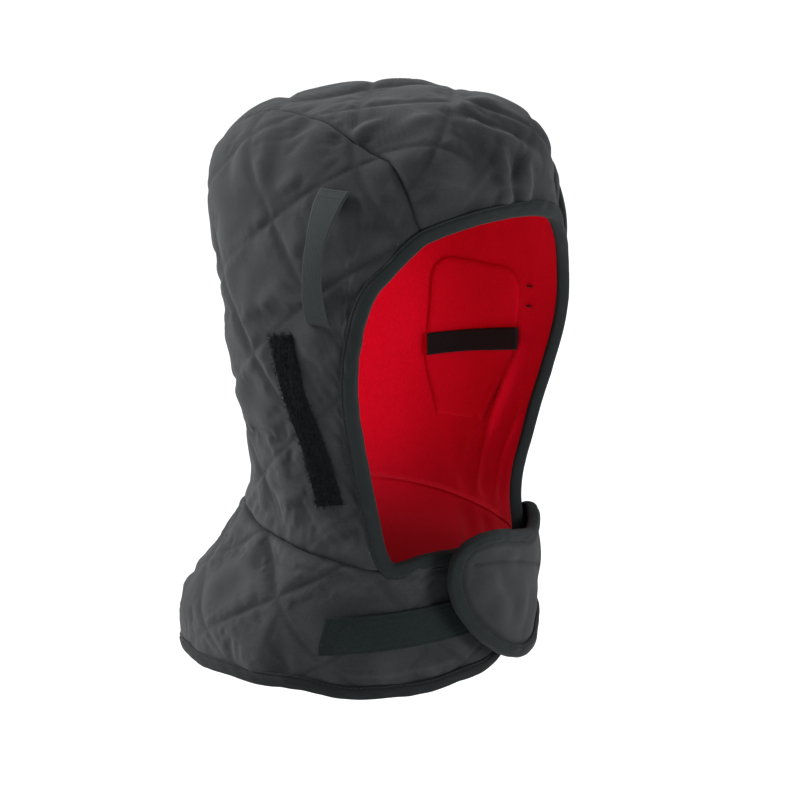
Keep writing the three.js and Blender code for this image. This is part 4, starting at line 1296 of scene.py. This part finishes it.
def ear_pocket(side, side_name):
    """A fleece pocket over an ear, with round top corners and a tapered foot."""
    _, depth, _, to_depth, width = EAR_POCKET
    along, across, inset = strip_grid(to_depth - depth, width, 1.6)
    corner = np.clip(POCKET_CORNER - along, 0, POCKET_CORNER)
    half = POCKET_HALF - POCKET_CORNER + np.sqrt(POCKET_CORNER ** 2 - corner ** 2)
    taper = smoothstep(along, POCKET_TAPER_FROM, to_depth - depth + 6)
    half = half - (POCKET_HALF - POCKET_FOOT_HALF) * taper
    points = on_side(side, POCKET_MIDDLE + across * half / (width / 2), depth + along)
    normals = outward(points)
    sunk = STACK + POCKET_GAP + POCKET_WALL / 2
    swell = 0.3 * smoothstep(inset, 2, 16) - 0.12 * np.exp(-((inset - 2.6) / 0.9) ** 2)
    swell = swell - 1.5 * (1 - edge_round(inset, 3)) + 0.2 * waves(points, 40, 82)
    points = points - (sunk + slump(points) + swell)[..., None] * normals
    made = strip_piece("pocket_fleece_" + side_name, "ear_pocket_" + side_name, points, -normals, along,
                       across, fleece, "lining", POCKET_WALL, 0)


def pocket_band(side, side_name):
    """Black tape across an ear pocket."""
    points, normals, along, across, inset = side_strip(POCKET_STRIP, side, 1.2)
    rise = STACK + 2 * POCKET_GAP + POCKET_WALL + TAPE * edge_round(inset, 0.6) + 0.25 * waves(points, 30, 84)
    points = points - (rise + slump(points))[..., None] * normals
    strip_piece("pocket_tape_" + side_name, "pocket_strip_" + side_name, points, -normals, along, across,
                pocket_tape, "loop_tape", 0.8)


def fleece_tacks(side):
    """Two short tacks in the fleece, in front of an ear pocket."""
    for depth in TACK_DEPTHS:
        points = on_side(side, np.linspace(*TACK_REACH, 9), np.full(9, float(depth)))
        normals = outward(points)
        tack_lines.append((points - (STACK + TACK_RISE + slump(points))[:, None] * normals, -normals))


for side, side_name in ((-1, "right"), (1, "left")):
    mask_tape(side, side_name)
    loop_webbing(side, side_name)
    ear_pocket(side, side_name)
    pocket_band(side, side_name)
    fleece_tacks(side)

stitched("loop_stitching", loop_lines, thread, "webbing", length=2.0, pitch=1.4, width=0.5)
stitched("loop_tacks", tack_lines, dark_red, "lining", length=1.2, pitch=0.8, width=1.3)
stitched("strip_fuzz", strip_fibres, pile, "loop_tape", length=2.6, pitch=0.8, width=0.3)

# Chin strip

angle, depth, to_angle, to_depth, width = CHIN_STRIP
along, across, inset = strip_grid(CHIN_STRIP_LENGTH, width, 0.9)
t = along / CHIN_STRIP_LENGTH
points = on_ring(angle + t * (to_angle - angle), depth + t * (to_depth - depth) + across)
normals = outward(points)
bristle = 0.12 * waves(points, 1.6, 86) * smoothstep(inset, 2, 4) - 0.5 * np.exp(-((inset - 2) / 0.6) ** 2)
rise = TAPE_GAP + TAPE * edge_round(inset, 0.8) + bristle - slump(points)
points = points + rise[..., None] * normals
strip_piece("chin_tape", "chin_strip", points, normals, along, across, chin_pile, "loop_tape", 0.7)

# Stage

camera_data = bpy.data.cameras.new("camera")
camera_data.lens = LENS
camera_data.sensor_width = 36
camera = bpy.data.objects.new("camera", camera_data)
bpy.context.scene.collection.objects.link(camera)
level = CAMERA_DISTANCE * math.cos(CAMERA_RISE)
lift = CAMERA_DISTANCE * math.sin(CAMERA_RISE)
camera.location = AIM + np.array([level * math.sin(CAMERA_AZIMUTH), -level * math.cos(CAMERA_AZIMUTH), lift])
camera.rotation_euler = (math.pi / 2 - CAMERA_RISE, 0, CAMERA_AZIMUTH)
bpy.context.scene.camera = camera

floor_mesh = bpy.data.meshes.new("floor")
bm = bmesh.new()
bmesh.ops.create_grid(bm, x_segments=1, y_segments=1, size=20)
bm.to_mesh(floor_mesh)
bm.free()
floor = bpy.data.objects.new("floor", floor_mesh)
floor.location.z = FLOOR_HEIGHT
bpy.context.scene.collection.objects.link(floor)
floor_material = bpy.data.materials.new("pale floor")
floor_material.use_nodes = True
floor_shader = floor_material.node_tree.nodes["Principled BSDF"]
floor_shader.inputs["Base Color"].default_value = (FLOOR_TONE, FLOOR_TONE, FLOOR_TONE, 1)
floor_mesh.materials.append(floor_material)

world = bpy.data.worlds.new("studio")
bpy.context.scene.world = world
world.use_nodes = True
sky = world.node_tree.nodes["Background"]
sky.inputs["Color"].default_value = (1, 1, 1, 1)
sky.inputs["Strength"].default_value = SKY_STRENGTH
bpy.context.scene.view_settings.view_transform = "Standard"


def lamp(name, kind, place, power):
    """A lamp at a place, aimed at the liner."""
    data = bpy.data.lights.new(name, kind)
    data.energy = power
    made = bpy.data.objects.new(name, data)
    made.location = place
    aim = AIM - np.array(place)
    made.rotation_euler = (math.acos(-aim[2] / np.linalg.norm(aim)), 0, math.atan2(-aim[0], aim[1]))
    bpy.context.scene.collection.objects.link(made)
    return data


lamp("front", "AREA", (0.0, -1.5, 0.05), 14).size = 0.5
lamp("top", "AREA", (1.5, 0.1, 1.2), 12).size = 0.8
lamp("key", "SUN", (-0.75, 1.85, 1.15), 7.2).angle = math.radians(25)
